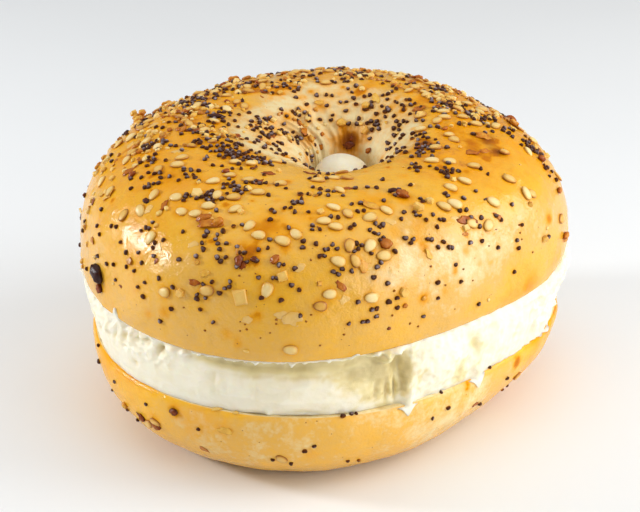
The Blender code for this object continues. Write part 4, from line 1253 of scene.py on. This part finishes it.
class BAGEL_OT_filling(bpy.types.Operator):
    """Make the cheese between the halves, torn at the ends, with its dome in the hole"""

    bl_idname = "bagel.filling"
    bl_label = "Cheese filling"
    bl_options = {"REGISTER", "UNDO"}

    def execute(self, context):
        settings = context.scene.bagel_cheese
        angles = np.linspace(0, 2 * math.pi, FILLING_AROUND, endpoint=False)
        side, tint = cheese_side(angles, settings)
        lower, upper, poles = cheese_ends(angles)
        flat, faces = revolve(np.stack((*lower, *side, *upper)), poles)
        # Painted shade of the folds and hollows, on the side's points only
        fold = np.zeros(len(flat))
        start = len(lower) * FILLING_AROUND
        fold[start:start + tint.size] = tint.ravel()
        mesh = mesh_of("cheese_filling", flat, faces, {"fold": fold})
        add_piece("cheese_filling", mesh, cheese_material(settings), "soft_filling", "soft_filling")
        return {"FINISHED"}


def rings_of(rings, segments, point):
    """Rings of points between two poles, each from its lift and its turn in radians."""
    lifts = math.pi * np.arange(1, rings + 1) / (rings + 1)
    turns = 2 * math.pi * np.arange(segments) / segments
    return np.array([[tuple(point(lift, turn)) for turn in turns] for lift in lifts])


def poppy_shape(number):
    """Kidney-shaped seed of unit length, its notch at one side."""
    def point(lift, turn):
        along = -math.cos(lift) * 0.5
        width = math.sin(lift) * (0.40 + 0.03 * number)
        notch = 0.18 * math.exp(-(along / 0.2) ** 2) * (math.cos(turn) > 0.4)
        across = math.cos(turn) * width * (1 - notch) + 0.5 * along ** 2
        return along, across, math.sin(turn) * width * 0.92

    return revolve(rings_of(5, 7, point), ((-0.5, 0.12, 0.0), (0.5, 0.12, 0.0)))


def sesame_shape(number):
    """Flat teardrop seed of unit length with a blunt and a pointed end."""
    taper = 0.10 + 0.06 * number

    def point(lift, turn):
        width = 0.345 * math.sin(lift) ** 0.85 * (1 - taper * math.cos(lift))
        thick = (0.06 + 0.26 * width) * math.sin(lift) ** 0.6
        across = math.copysign(abs(math.cos(turn)) ** 0.75, math.cos(turn))
        up = math.copysign(abs(math.sin(turn)) ** 0.9, math.sin(turn))
        return -math.cos(lift) * 0.5, across * width, up * thick

    return revolve(rings_of(8, 12, point), ((-0.5, 0.0, 0.0), (0.5, 0.0, 0.0)))


def flake_shape(number):
    """Thin, curled, uneven flake of unit length and width."""
    draw = np.random.default_rng(70 + number)
    segments, rings = 14, 4
    corner = 0.5 + 0.13 * draw.uniform(-1, 1, segments)
    curl = draw.uniform(-0.05, 0.34)
    twist = draw.uniform(-0.3, 0.3)
    rows = []
    for side in (-1, 1):
        order = range(1, rings + 1) if side < 0 else range(rings, 0, -1)
        for ring in order:
            share = ring / rings
            reach = share * (0.96 if side > 0 and ring == rings else 1.0)
            row = []
            for step in range(segments):
                turn = 2 * math.pi * step / segments
                x = math.cos(turn) * corner[step] * reach
                y = math.sin(turn) * corner[step] * reach
                lift = curl * x * x + twist * x * y + 0.07 * math.sin(9 * x + number) * share
                row.append((x, y, lift + side * 0.06 * (1.2 - share * 0.7)))
            rows.append(row)
    middle = 0.06 * 1.2
    return revolve(np.array(rows), ((0.0, 0.0, -middle), (0.0, 0.0, middle)))


def nugget_shape(number):
    """Rounded, wrinkled lump of unit size."""
    draw = Vector((number * 3.1, number * 1.7, 0.4))

    def point(lift, turn):
        way = Vector((-math.cos(lift), math.cos(turn) * math.sin(lift),
                      math.sin(turn) * math.sin(lift)))
        swell = 1 + 0.34 * noise.noise(way * 1.7 + draw)
        crease = 0.10 * abs(noise.noise(way * 4.5 + draw))
        return way * 0.5 * (swell - crease)

    ends = [way * 0.5 * (1 + 0.34 * noise.noise(way * 1.7 + draw))
            for way in (Vector((-1, 0, 0)), Vector((1, 0, 0)))]
    return revolve(rings_of(9, 16, point), [tuple(end) for end in ends])


def bit_shape(number):
    """Angular granule of unit size."""
    draw = np.random.default_rng(90 + number)
    segments, rings = (4, 6, 5, 6, 4, 7)[number], 3
    rows = np.zeros((rings, segments, 3))
    for ring in range(rings):
        for step in range(segments):
            turn = 2 * math.pi * (step + 0.5) / segments + draw.uniform(-0.12, 0.12)
            reach = (0.56, 0.66, 0.52)[ring] * draw.uniform(0.88, 1.08)
            rows[ring, step] = (math.cos(turn) * reach, math.sin(turn) * reach,
                                (-0.36, 0.05, 0.34)[ring] * draw.uniform(0.85, 1.15))
    return revolve(rows, ((0.0, 0.0, -0.4), (0.0, 0.0, 0.36)))


def shape_collection(name, shape, count, smooth):
    """Collection with a few variants of a small piece, each with a rim value of painted shade."""
    group = bpy.data.collections.new(name)
    for number in range(count):
        flat, faces = shape(number)
        mesh = bpy.data.meshes.new(f"{name}_{number}")
        mesh.from_pydata(flat.tolist(), [], faces)
        span = np.abs(flat[:, :2]).max(0)
        # Painted shade: the rim value grows towards each piece's outline and its underside
        far = np.hypot(*(flat[:, :2] / span).T)
        low = 1 - ease(flat[:, 2] / flat[:, 2].max(), -0.2, 0.75)
        layer = mesh.attributes.new("rim", "FLOAT", "POINT")
        layer.data.foreach_set("value", (0.5 * ease(far, 0.55, 1.05) + 0.5 * low).astype(np.float32))
        mesh.validate()
        if smooth:
            mesh.shade_smooth()
        group.objects.link(bpy.data.objects.new(f"{name}_{number}", mesh))
    return group


def scatter_tree():
    """Geometry Nodes that set a small piece on each point and make them one mesh."""
    tree = bpy.data.node_groups.new("pieces_on_points", "GeometryNodeTree")
    tree.interface.new_socket("Geometry", in_out="INPUT", socket_type="NodeSocketGeometry")
    for label, kind in (("Shapes", "Collection"), ("Length", "Float"), ("Size Variation", "Float"),
                        ("Sink", "Float"), ("Seed", "Int"), ("Finish", "Material")):
        tree.interface.new_socket(label, in_out="INPUT", socket_type="NodeSocket" + kind)
    tree.interface.new_socket("Geometry", in_out="OUTPUT", socket_type="NodeSocketGeometry")
    given = make_node(tree, "NodeGroupInput").outputs

    def stored(name, kind="FLOAT_VECTOR"):
        inputs = {"Name": name}
        return make_node(tree, "GeometryNodeInputNamedAttribute", inputs, data_type=kind).outputs[0]

    shapes = make_node(tree, "GeometryNodeCollectionInfo", {
        "Collection": given["Shapes"], "Separate Children": True, "Reset Children": True})
    rotation = make_node(tree, "FunctionNodeAxesToRotation", {
        "Primary Axis": stored("facing"), "Secondary Axis": stored("heading")},
        primary_axis="Z", secondary_axis="X")
    varied = make_node(tree, "FunctionNodeRandomValue", {
        "Min": calculate(tree, "SUBTRACT", 1.0, given["Size Variation"]),
        "Max": calculate(tree, "ADD", 1.0, given["Size Variation"]),
        "Seed": given["Seed"]}, data_type="FLOAT")
    uneven = varied.outputs["Value"] if varied.outputs["Value"].enabled else varied.outputs[1]
    length = calculate(tree, "MULTIPLY", uneven, given["Length"])
    size = make_node(tree, "ShaderNodeVectorMath", {
        0: stored("size"), "Scale": length}, operation="SCALE")
    placed = make_node(tree, "GeometryNodeInstanceOnPoints", {
        "Points": given["Geometry"], "Instance": shapes.outputs[0], "Pick Instance": True,
        "Instance Index": stored("variant", "INT"), "Rotation": rotation.outputs[0],
        "Scale": size.outputs[0]})
    depth = calculate(tree, "MULTIPLY", given["Sink"], -1.0)
    offset = make_node(tree, "ShaderNodeCombineXYZ", {"Z": depth})
    sunk = make_node(tree, "GeometryNodeTranslateInstances", {
        "Instances": placed.outputs[0], "Translation": offset.outputs[0], "Local Space": True})
    real = make_node(tree, "GeometryNodeRealizeInstances", {0: sunk.outputs[0]})
    finished = make_node(tree, "GeometryNodeSetMaterial", {
        "Geometry": real.outputs[0], "Material": given["Finish"]})
    make_node(tree, "NodeGroupOutput", {0: finished.outputs[0]})
    return tree


def scatter(name, spots, shapes, finish, slot, seed, length=1.0, variation=0.0, sink=0.0):
    """One piece from small shapes on spots, made by Geometry Nodes."""
    mesh = bpy.data.meshes.new(name + "_points")
    mesh.from_pydata((spots["point"] + TO_ORIGIN).tolist(), [], [])
    for label, kind, member, number in (
            ("facing", "FLOAT_VECTOR", "vector", np.float32),
            ("heading", "FLOAT_VECTOR", "vector", np.float32),
            ("size", "FLOAT_VECTOR", "vector", np.float32),
            ("tint", "FLOAT", "value", np.float32), ("variant", "INT", "value", np.int32)):
        layer = mesh.attributes.new(label, kind, "POINT")
        layer.data.foreach_set(member, np.asarray(spots[label], number).ravel())
    carrier = bpy.data.objects.new(name + "_points", mesh)
    bpy.context.scene.collection.objects.link(carrier)
    modifier = carrier.modifiers.new("pieces", "NODES")
    modifier.node_group = scatter_tree()
    values = {"Shapes": shapes, "Length": length, "Size Variation": variation, "Sink": sink,
              "Seed": seed, "Finish": finish}
    for item in modifier.node_group.interface.items_tree:
        if item.item_type == "SOCKET" and item.in_out == "INPUT" and item.name in values:
            modifier[item.identifier] = values[item.name]
    depsgraph = bpy.context.evaluated_depsgraph_get()
    made = bpy.data.meshes.new_from_object(
        carrier.evaluated_get(depsgraph), preserve_all_data_layers=True, depsgraph=depsgraph)
    made.name = name
    carrier.modifiers.remove(modifier)
    bpy.data.objects.remove(carrier)
    for piece in list(shapes.objects):
        bpy.data.objects.remove(piece)
    bpy.data.collections.remove(shapes)
    if not made.polygons:
        raise RuntimeError(name + " has no faces")
    return add_piece(name, made, finish, slot)


def spots_on(surface, angle, place, heading, size, tint, variants, draw, tilt=0.0):
    """Places, directions and sizes of small pieces on a crust."""
    points, normals = surface(angle, place)
    forward = level_way(np.radians(heading))
    steep = (forward * normals).sum(-1, keepdims=True)
    flat = forward - normals * steep
    facing = unit(normals + tilt * draw.normal(size=normals.shape))
    size = np.asarray(size, float)
    if size.ndim == 1:
        size = np.repeat(size[:, None], 3, 1)
    return {"point": points, "facing": facing, "heading": unit(flat), "size": size,
            "tint": np.asarray(tint, float), "variant": draw.integers(0, variants, len(points))}


def joined(*groups):
    """Several groups of spots as one."""
    return {key: np.concatenate([group[key] for group in groups]) for key in groups[0]}


def thinned(spots, spacing, others=None, other_spacing=0.0):
    """Spots that are far enough from earlier ones and from other pieces."""
    kept = []
    points = spots["point"]
    for number, point in enumerate(points):
        if kept and np.linalg.norm(points[kept] - point, axis=1).min() < spacing:
            continue
        if others is not None and np.linalg.norm(others - point, axis=1).min() < other_spacing:
            continue
        kept.append(number)
    return {key: values[kept] for key, values in spots.items()}


def drawn_places(form, density, low, high, draw, crowd=1.0):
    """Random spots on a crust, from a density per square centimetre and how crowded they are."""
    angle = draw.uniform(0, 2 * math.pi, TRIES)
    place = draw.uniform(low, high, TRIES)
    points, _, around, along = framed(form, angle, place)
    area = np.linalg.norm(np.cross(around, along), axis=-1) * PER_SQUARE_CM
    weight = density(points, angle, place) * area
    count = weight.mean() * 2 * math.pi * (high - low)
    chosen = draw.choice(TRIES, int(count * crowd), replace=False, p=weight / weight.sum())
    return angle[chosen], place[chosen]


def drift_places(form, drifts, draw):
    """Random spots in drifts of angle, place, spread in mm and count."""
    angles = []
    places = []
    for degrees, place, spread, count in drifts:
        count = round(count * DRIFT_EXTRA)
        start = np.full(count, math.radians(degrees))
        centre = np.full(count, float(place))
        _, _, around, along = framed(form, start, centre)
        sideways = draw.normal(size=count) * spread * MM / np.linalg.norm(around, axis=-1)
        upwards = draw.normal(size=count) * spread * MM * 0.8 / np.linalg.norm(along, axis=-1)
        angles.append(start + sideways)
        places.append(centre + upwards)
    return np.concatenate(angles), np.concatenate(places).clip(0.3, 2.98)


def top_poppy_density(points, angle, place):
    """Loose poppy seeds per square centimetre on the top."""
    spread = np.interp(place, (0.3, 0.9, 1.15, 1.3, 1.6, 1.8, 2.0, 2.2, 2.5, 2.8, 3.0),
                       (0.2, 0.8, 2.0, 3.2, 3.8, 4.6, 5.4, 8.0, 12.0, 10.0, 4.0))
    right = zone(angle, place, 0.88, (318, 410, 14), (1.85, 1.6))
    front = zone(angle, place, 0.92, (200, 316, 6), (1.8, 1.66))
    lip = zone(angle, place, 0.75, (225, 330, 14), (1.95, 2.05), (2.5, 2.35))
    clump = 0.5 + 1.4 * noise_field(points, 8 * MM, 71).clip(-0.3, 1)
    return spread * (1 - right) * (1 - front) * (1 - lip) * clump.clip(0.15, 2)


def low_density(points, angle, place):
    """Loose poppy seeds per square centimetre on the bottom."""
    hidden = 1 - 0.85 * window(angle, 200, 345, 8)
    return hidden * np.interp(place, (1.3, 1.6, 1.9, 2.6), (0.35, 0.9, 0.6, 0.15))


def sesame_density(points, angle, place):
    """Loose sesame seeds on the top, few where the ones that stand out lie."""
    seen = 0.88 * window(angle, 200, 345, 10)
    thick = 1 + zone(angle, place, 1.2, (105, 205, 20), (1.45, 1.65))
    thick += zone(angle, place, 1.2, (5, 95, 15), (1.4, 1.55), (2.05, 1.95))
    base = np.interp(place, (1.1, 1.35, 1.7, 2.0, 2.2, 2.5), (0.3, 1.1, 2.1, 2.3, 0.8, 0.25))
    clump = (0.55 + 1.2 * noise_field(points, 9 * MM, 72).clip(-0.3, 1)).clip(0.1, 2)
    return base * thick * (1 - seen) * clump


def flake_density(points, angle, place):
    """Small flakes and granules on the top, most near the crest."""
    base = np.interp(place, (0.8, 1.2, 1.6, 2.0, 2.2, 2.9), (0.1, 0.4, 1.0, 1.3, 0.7, 0.15))
    base = base * (1 - 0.86 * window(angle, 208, 365, 12)) * (1 + 1.4 * window(angle, 110, 200, 15))
    base = base * (1 + zone(angle, place, 1.6, (5, 80, 12), (1.35, 1.5), (2.05, 1.9)))
    return base * (0.5 + 1.6 * noise_field(points, 8 * MM, 73).clip(-0.2, 1)).clip(0.1, 2)


def sample(density, low, high, crowd, count, draw):
    """A random choice of so many of the spots drawn on the top."""
    angle, place = drawn_places(top_form, density, low, high, draw, crowd)
    chosen = draw.permutation(len(angle))[:count]
    return angle[chosen], place[chosen]


def pairs(rows):
    """Angles in radians and places from rows of one angle and its places."""
    flat = [(row[0], place) for row in rows for place in row[1:]]
    degrees, place = np.array(flat, float).T
    return np.radians(degrees), place


def sesame_spots(settings):
    """Places of all sesame seeds, the same at every call."""
    draw = np.random.default_rng(settings.seed)
    degrees, place, heading = np.array(SESAME_SPOTS, float).T
    count = len(degrees)
    tint = 0.26 + 0.13 * draw.normal(size=count)
    shown = spots_on(top_surface, np.radians(degrees), place, heading,
                     draw.uniform(0.92, 1.06, count), tint.clip(0.05, 0.8), 4, draw, 0.07)
    angle, place = sample(sesame_density, 1.1, 2.6, 1.0, settings.sesame_count, draw)
    count = len(angle)
    tint = 0.34 + 0.20 * draw.normal(size=count)
    loose = spots_on(top_surface, angle, place, draw.uniform(0, 180, count),
                     draw.uniform(0.82, 1.04, count), tint.clip(0.0, 0.95), 4, draw, 0.14)
    degrees, place = np.array(LOW_SESAME_SPOTS).T
    count = len(degrees)
    low = spots_on(bottom_surface, np.radians(degrees), place, draw.uniform(0, 180, count),
                   draw.uniform(0.85, 1.0, count), np.full(count, 0.45), 4, draw, 0.05)
    return thinned(joined(shown, loose, low), 1.7 * MM)


class BAGEL_OT_sesame(bpy.types.Operator):
    """Lay the sesame seeds on both crusts"""

    bl_idname = "bagel.sesame"
    bl_label = "Sesame seeds"
    bl_options = {"REGISTER", "UNDO"}

    def execute(self, context):
        settings = context.scene.bagel_toppings
        finish = seed_material("sesame_hull", (
            (0.0, (0.86, 0.68, 0.34)), (0.3, (0.80, 0.56, 0.20)), (0.6, (0.70, 0.38, 0.06)),
            (1.0, (0.38, 0.13, 0.010))), 1.0 * MM, 0.05 * MM, 0.72, Roughness=0.36,
            Subsurface_Weight=0.12, Subsurface_Radius=(1.0, 0.7, 0.35), Subsurface_Scale=0.5 * MM,
            Specular_IOR_Level=0.4)
        shapes = shape_collection("sesame", sesame_shape, 4, True)
        piece = scatter("sesame_seeds", sesame_spots(settings), shapes, finish, "crust_top",
                        settings.seed, settings.sesame_size, 0.06, -0.05)
        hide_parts("bagel_top")
        return {"FINISHED"}


def flake_spots(count, draw):
    """Places of all onion flakes: those that stand out, then the small ones."""
    groups = []
    for surface, flakes in ((top_surface, TOP_FLAKES), (bottom_surface, BOTTOM_FLAKES)):
        degrees, place, heading, length, width, dark = np.array(flakes, float).T
        size = np.stack((length, width, np.sqrt(length * width) * 0.85), -1) * MM
        groups.append(spots_on(surface, np.radians(degrees), place, heading, size, dark, 8, draw, 0.10))
    angle, place = sample(flake_density, 0.9, 2.9, 1.0, count, draw)
    count = len(angle)
    length = draw.uniform(1.2, 3.4, count)
    size = np.stack((length, length * draw.uniform(0.45, 0.9, count), length * 0.8), -1) * MM
    groups.append(spots_on(top_surface, angle, place, draw.uniform(0, 180, count), size,
                           draw.beta(1.6, 2.0, count), 8, draw, 0.18))
    return joined(*groups)


def nugget_spots(count, draw):
    """Places of all thick bits: those that stand out, raised, then the small ones."""
    groups = []
    for surface, nuggets in ((top_surface, NUGGETS), (bottom_surface, LOW_NUGGETS)):
        degrees, place, heading, length, width, thick, dark, lift = np.array(nuggets, float).T
        size = np.stack((length, width, thick), -1) * MM
        spots = spots_on(surface, np.radians(degrees), place, heading, size, dark, 8, draw, 0.05)
        spots["point"] = spots["point"] + spots["facing"] * (lift * MM)[:, None]
        groups.append(spots)
    angle, place = sample(flake_density, 0.9, 2.8, 2.0, count, draw)
    count = len(angle)
    length = draw.uniform(0.8, 2.0, count)
    size = np.stack((length, length * 0.75, length * 0.6), -1) * MM
    groups.append(spots_on(top_surface, angle, place, draw.uniform(0, 180, count), size,
                           draw.beta(1.4, 2.2, count), 8, draw, 0.2))
    return joined(*groups)


def film_spots(draw):
    """Places of the thin films of onion."""
    degrees, place, heading, length, width = np.array(FILMS, float).T
    size = np.stack((length, width, length * 0.16), -1) * MM
    return spots_on(top_surface, np.radians(degrees), place, heading, size,
                    draw.uniform(0.0, 0.16, len(degrees)), 8, draw, 0.02)


class BAGEL_OT_onion(bpy.types.Operator):
    """Lay the dried onion on both crusts: flakes, thick bits and thin films"""

    bl_idname = "bagel.onion"
    bl_label = "Onion"
    bl_options = {"REGISTER", "UNDO"}

    def execute(self, context):
        settings = context.scene.bagel_toppings
        seed = settings.seed
        draw = np.random.default_rng(seed + 1)
        flakes = flake_spots(settings.flake_count, draw)
        nuggets = nugget_spots(settings.flake_count, draw)
        films = film_spots(draw)
        finish = seed_material("onion_skin", (
            (0.0, (0.84, 0.58, 0.19)), (0.2, (0.78, 0.44, 0.06)), (0.42, (0.56, 0.19, 0.008)),
            (0.62, (0.30, 0.058, 0.003)), (0.8, (0.10, 0.016, 0.002)), (0.95, (0.035, 0.006, 0.003))),
            1.1 * MM, 0.16 * MM, 0.14, Roughness=0.26, Subsurface_Weight=0.15,
            Subsurface_Radius=(1.0, 0.5, 0.2), Subsurface_Scale=0.6 * MM, Specular_IOR_Level=0.30)
        shapes = shape_collection("onion_flake", flake_shape, 8, True)
        piece = scatter("onion_flakes", flakes, shapes, finish, "crust_top", seed + 1, 1.0, 0.08, -0.05)
        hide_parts("bagel_top")
        shapes = shape_collection("onion_bit", nugget_shape, 8, True)
        scatter("onion_bits", nuggets, shapes, finish, "crust_top", seed + 2, 1.0, 0.06, -0.12)
        sheer = seed_material("onion_film", ((0.0, (0.80, 0.50, 0.14)), (0.5, (0.79, 0.44, 0.07))),
                              0.9 * MM, 0.14 * MM, 0.45, Roughness=0.26, Specular_IOR_Level=0.9)
        shapes = shape_collection("onion_film", flake_shape, 8, True)
        scatter("onion_films", films, shapes, sheer, "crust_top", seed + 3, 1.0, 0.0, -0.05)
        return {"FINISHED"}


def poppy_spots(settings):
    """Places of all poppy seeds, the same at every call."""
    draw = np.random.default_rng(settings.seed + 2)
    single = pairs(POPPY_SPOTS)
    drifts = drift_places(top_form, POPPY_DRIFTS, draw)
    loose = drawn_places(top_form, top_poppy_density, 0.3, 2.98, draw)
    angle, place = (np.concatenate(values) for values in zip(single, drifts, loose))
    count = len(angle)
    top = spots_on(top_surface, angle, place, draw.uniform(0, 360, count),
                   draw.uniform(0.84, 1.1, count), 0.50 * draw.beta(1.4, 1.6, count), 3, draw, 0.35)
    single = pairs(LOW_POPPY_SPOTS)
    loose = drawn_places(bottom_form, low_density, 1.2, 2.7, draw)
    angle, place = (np.concatenate(values) for values in zip(single, loose))
    count = len(angle)
    low = spots_on(bottom_surface, angle, place, draw.uniform(0, 360, count),
                   draw.uniform(0.75, 1.05, count), 0.6 * draw.beta(2.0, 2.2, count), 3, draw, 0.3)
    sesame = sesame_spots(settings)["point"]
    return thinned(joined(top, low), 0.74 * MM, sesame, 1.10 * MM)


class BAGEL_OT_poppy(bpy.types.Operator):
    """Strew the poppy seeds, in drifts and loose, on both crusts"""

    bl_idname = "bagel.poppy"
    bl_label = "Poppy seeds"
    bl_options = {"REGISTER", "UNDO"}

    def execute(self, context):
        settings = context.scene.bagel_toppings
        draw = np.random.default_rng(settings.seed + 5)
        angle, place = pairs(SPECK_SPOTS)
        count = len(angle)
        specks = spots_on(top_surface, angle, place, draw.uniform(0, 360, count),
                          draw.uniform(0.28, 0.48, count), draw.uniform(0.9, 1.0, count), 3, draw, 0.3)
        # The palest grey stop is a painted highlight on the tops of the poppy seeds
        finish = seed_material("poppy_skin", (
            (0.0, (0.36, 0.30, 0.32)), (0.18, (0.17, 0.12, 0.12)), (0.42, (0.075, 0.028, 0.014)),
            (0.8, (0.070, 0.017, 0.002)), (1.0, (0.32, 0.10, 0.008))), 0.35 * MM, 0.10 * MM, 0.60,
            Roughness=0.5, Specular_IOR_Level=0.12)
        shapes = shape_collection("poppy", poppy_shape, 3, True)
        spots = joined(poppy_spots(settings), specks)
        scatter("poppy_seeds", spots, shapes, finish, "crust_top", settings.seed + 2,
                settings.poppy_size, 0.08, -0.12)
        return {"FINISHED"}


class BAGEL_OT_bits(bpy.types.Operator):
    """Scatter granules of garlic on the top"""

    bl_idname = "bagel.bits"
    bl_label = "Garlic"
    bl_options = {"REGISTER", "UNDO"}

    def execute(self, context):
        settings = context.scene.bagel_toppings
        draw = np.random.default_rng(settings.seed + 3)
        degrees, place = np.array(GARLIC_SPOTS, float).T
        count = len(degrees)
        shown = spots_on(top_surface, np.radians(degrees), place, draw.uniform(0, 180, count),
                         draw.uniform(1.4, 2.2, count) * MM, draw.uniform(0.2, 0.7, count), 6, draw, 0.2)
        square = spots_on(top_surface, np.radians((253.5,)), np.array((1.2,)), (30.0,),
                          np.array(((3.4, 3.6, 1.1),)) * MM, (0.42,), 1, draw, 0.0)
        angle, place = sample(flake_density, 0.8, 2.8, 7.5, settings.bit_count, draw)
        count = len(angle)
        loose = spots_on(top_surface, angle, place, draw.uniform(0, 180, count),
                         draw.uniform(0.5, 1.5, count) * MM, draw.uniform(0.0, 0.9, count), 6, draw, 0.3)
        finish = seed_material("garlic_granule", (
            (0.0, (0.86, 0.68, 0.32)), (0.4, (0.82, 0.55, 0.16)), (0.8, (0.72, 0.38, 0.05)),
            (1.0, (0.45, 0.17, 0.015))), 1.1 * MM, 0.08 * MM, 0.30, Roughness=0.33, Specular_IOR_Level=0.35,
            Subsurface_Weight=0.3, Subsurface_Radius=(1.0, 0.7, 0.35), Subsurface_Scale=0.6 * MM)
        shapes = shape_collection("garlic", bit_shape, 6, False)
        scatter("garlic_granules", joined(shown, square, loose), shapes, finish, "crust_top",
                settings.seed + 3, 1.0, 0.1, -0.1)
        return {"FINISHED"}


def area_light(name, direction, distance, size, power, colour):
    """Rectangular light that faces the bagel from an azimuth and an elevation."""
    azimuth, elevation = (math.radians(value) for value in direction)
    lamp = bpy.data.lights.new(name, "AREA")
    lamp.shape = "RECTANGLE"
    lamp.size, lamp.size_y = size
    lamp.energy = power
    lamp.color = colour
    holder = bpy.data.objects.new(name, lamp)
    away = Vector((math.sin(azimuth) * math.cos(elevation),
                   -math.cos(azimuth) * math.cos(elevation), math.sin(elevation)))
    holder.location = LIGHT_AIM + away * distance
    holder.rotation_euler = away.to_track_quat("Z", "Y").to_euler()
    bpy.context.scene.collection.objects.link(holder)


def make_camera(settings):
    """Camera at the front, looking down on the bagel."""
    lens = bpy.data.cameras.new("front_camera")
    lens.lens = settings.lens
    lens.sensor_width = SENSOR_WIDTH
    lens.clip_start = 0.02
    camera = bpy.data.objects.new("front_camera", lens)
    back = Vector((0.0, -math.cos(settings.elevation), math.sin(settings.elevation)))
    camera.location = AIM + back * settings.distance
    tilt = math.pi / 2 - settings.elevation + settings.aim_raise
    camera.rotation_euler = (tilt, 0.0, 0.0)
    bpy.context.scene.collection.objects.link(camera)
    bpy.context.scene.camera = camera


def make_room(settings):
    """Soft light of the room, from the front to the back."""
    world = bpy.data.worlds.new("room")
    world.use_nodes = True
    tree = world.node_tree
    background = tree.nodes["Background"]
    background.inputs["Color"].default_value = (1.0, 0.985, 0.96, 1.0)
    way = make_node(tree, "ShaderNodeTexCoord").outputs["Generated"]
    way = make_node(tree, "ShaderNodeSeparateXYZ", {0: way}).outputs["Y"]
    glow = map_value(tree, way, (-0.9, 0.7), (settings.front_sky, settings.back_sky))
    tree.links.new(glow, background.inputs["Strength"])
    bpy.context.scene.world = world


def make_floor(settings):
    """Plain, pale floor."""
    mesh = bpy.data.meshes.new("floor")
    corners = [(x * FLOOR_REACH, y * FLOOR_REACH, 0) for x, y in ((-1, -1), (1, -1), (1, 1), (-1, 1))]
    mesh.from_pydata(corners, [], [(0, 1, 2, 3)])
    floor = bpy.data.objects.new("floor", mesh)
    bpy.context.scene.collection.objects.link(floor)
    material, tree, shader, place = new_material("floor", Roughness=0.55, Specular_IOR_Level=0.3)
    darker = tuple(value * 0.97 for value in settings.floor_colour)
    stops = ((0.35, darker), (0.65, tuple(settings.floor_colour)))
    feed(tree, shader, Base_Color=colour_ramp(tree, noise_node(tree, place, 0.25, 3), stops))
    mesh.materials.append(material)


class BAGEL_OT_stage(bpy.types.Operator):
    """Set up the camera, the soft lights and the plain floor"""

    bl_idname = "bagel.stage"
    bl_label = "Stage"
    bl_options = {"REGISTER", "UNDO"}

    def execute(self, context):
        settings = context.scene.bagel_stage
        context.scene.view_settings.view_transform = "Standard"
        context.scene.view_settings.look = "None"
        make_camera(settings)
        for name, direction, distance, size, power, colour in LIGHTS:
            area_light(name, direction, distance, size, getattr(settings, power), colour)
        make_room(settings)
        make_floor(settings)
        return {"FINISHED"}


STEPS = (
    "top_crust", "bottom_crust", "filling", "sesame", "onion", "poppy", "bits", "stage",
)


class BAGEL_PT_sidebar(bpy.types.Panel):
    """Sidebar panel with the settings and the steps."""

    bl_idname = "BAGEL_PT_sidebar"
    bl_label = "Bagel sandwich"
    bl_space_type = "VIEW_3D"
    bl_region_type = "UI"
    bl_category = "Bagel"

    def draw(self, context):
        layout = self.layout
        for label in GROUPS:
            settings = getattr(context.scene, label)
            box = layout.box()
            for name in settings.__annotations__:
                box.prop(settings, name)
        for step in STEPS:
            layout.operator("bagel." + step)


GROUPS = {
    "bagel_crust": BagelCrustSettings, "bagel_cheese": BagelCheeseSettings,
    "bagel_toppings": BagelToppingSettings, "bagel_stage": BagelStageSettings,
}
CLASSES = (
    *GROUPS.values(), BAGEL_OT_top_crust, BAGEL_OT_bottom_crust, BAGEL_OT_filling,
    BAGEL_OT_sesame, BAGEL_OT_onion, BAGEL_OT_poppy, BAGEL_OT_bits, BAGEL_OT_stage,
    BAGEL_PT_sidebar,
)


def register():
    """Registers the classes and hangs the settings on the scene."""
    for kind in CLASSES:
        bpy.utils.register_class(kind)
    for label, kind in GROUPS.items():
        setattr(bpy.types.Scene, label, bpy.props.PointerProperty(type=kind))


def unregister():
    """Takes the settings and the classes away again."""
    for label in GROUPS:
        delattr(bpy.types.Scene, label)
    for kind in reversed(CLASSES):
        bpy.utils.unregister_class(kind)


def main():
    """Makes every piece and the stage."""
    register()
    for step in STEPS:
        getattr(bpy.ops.bagel, step)()


if __name__ == "__main__":
    main()
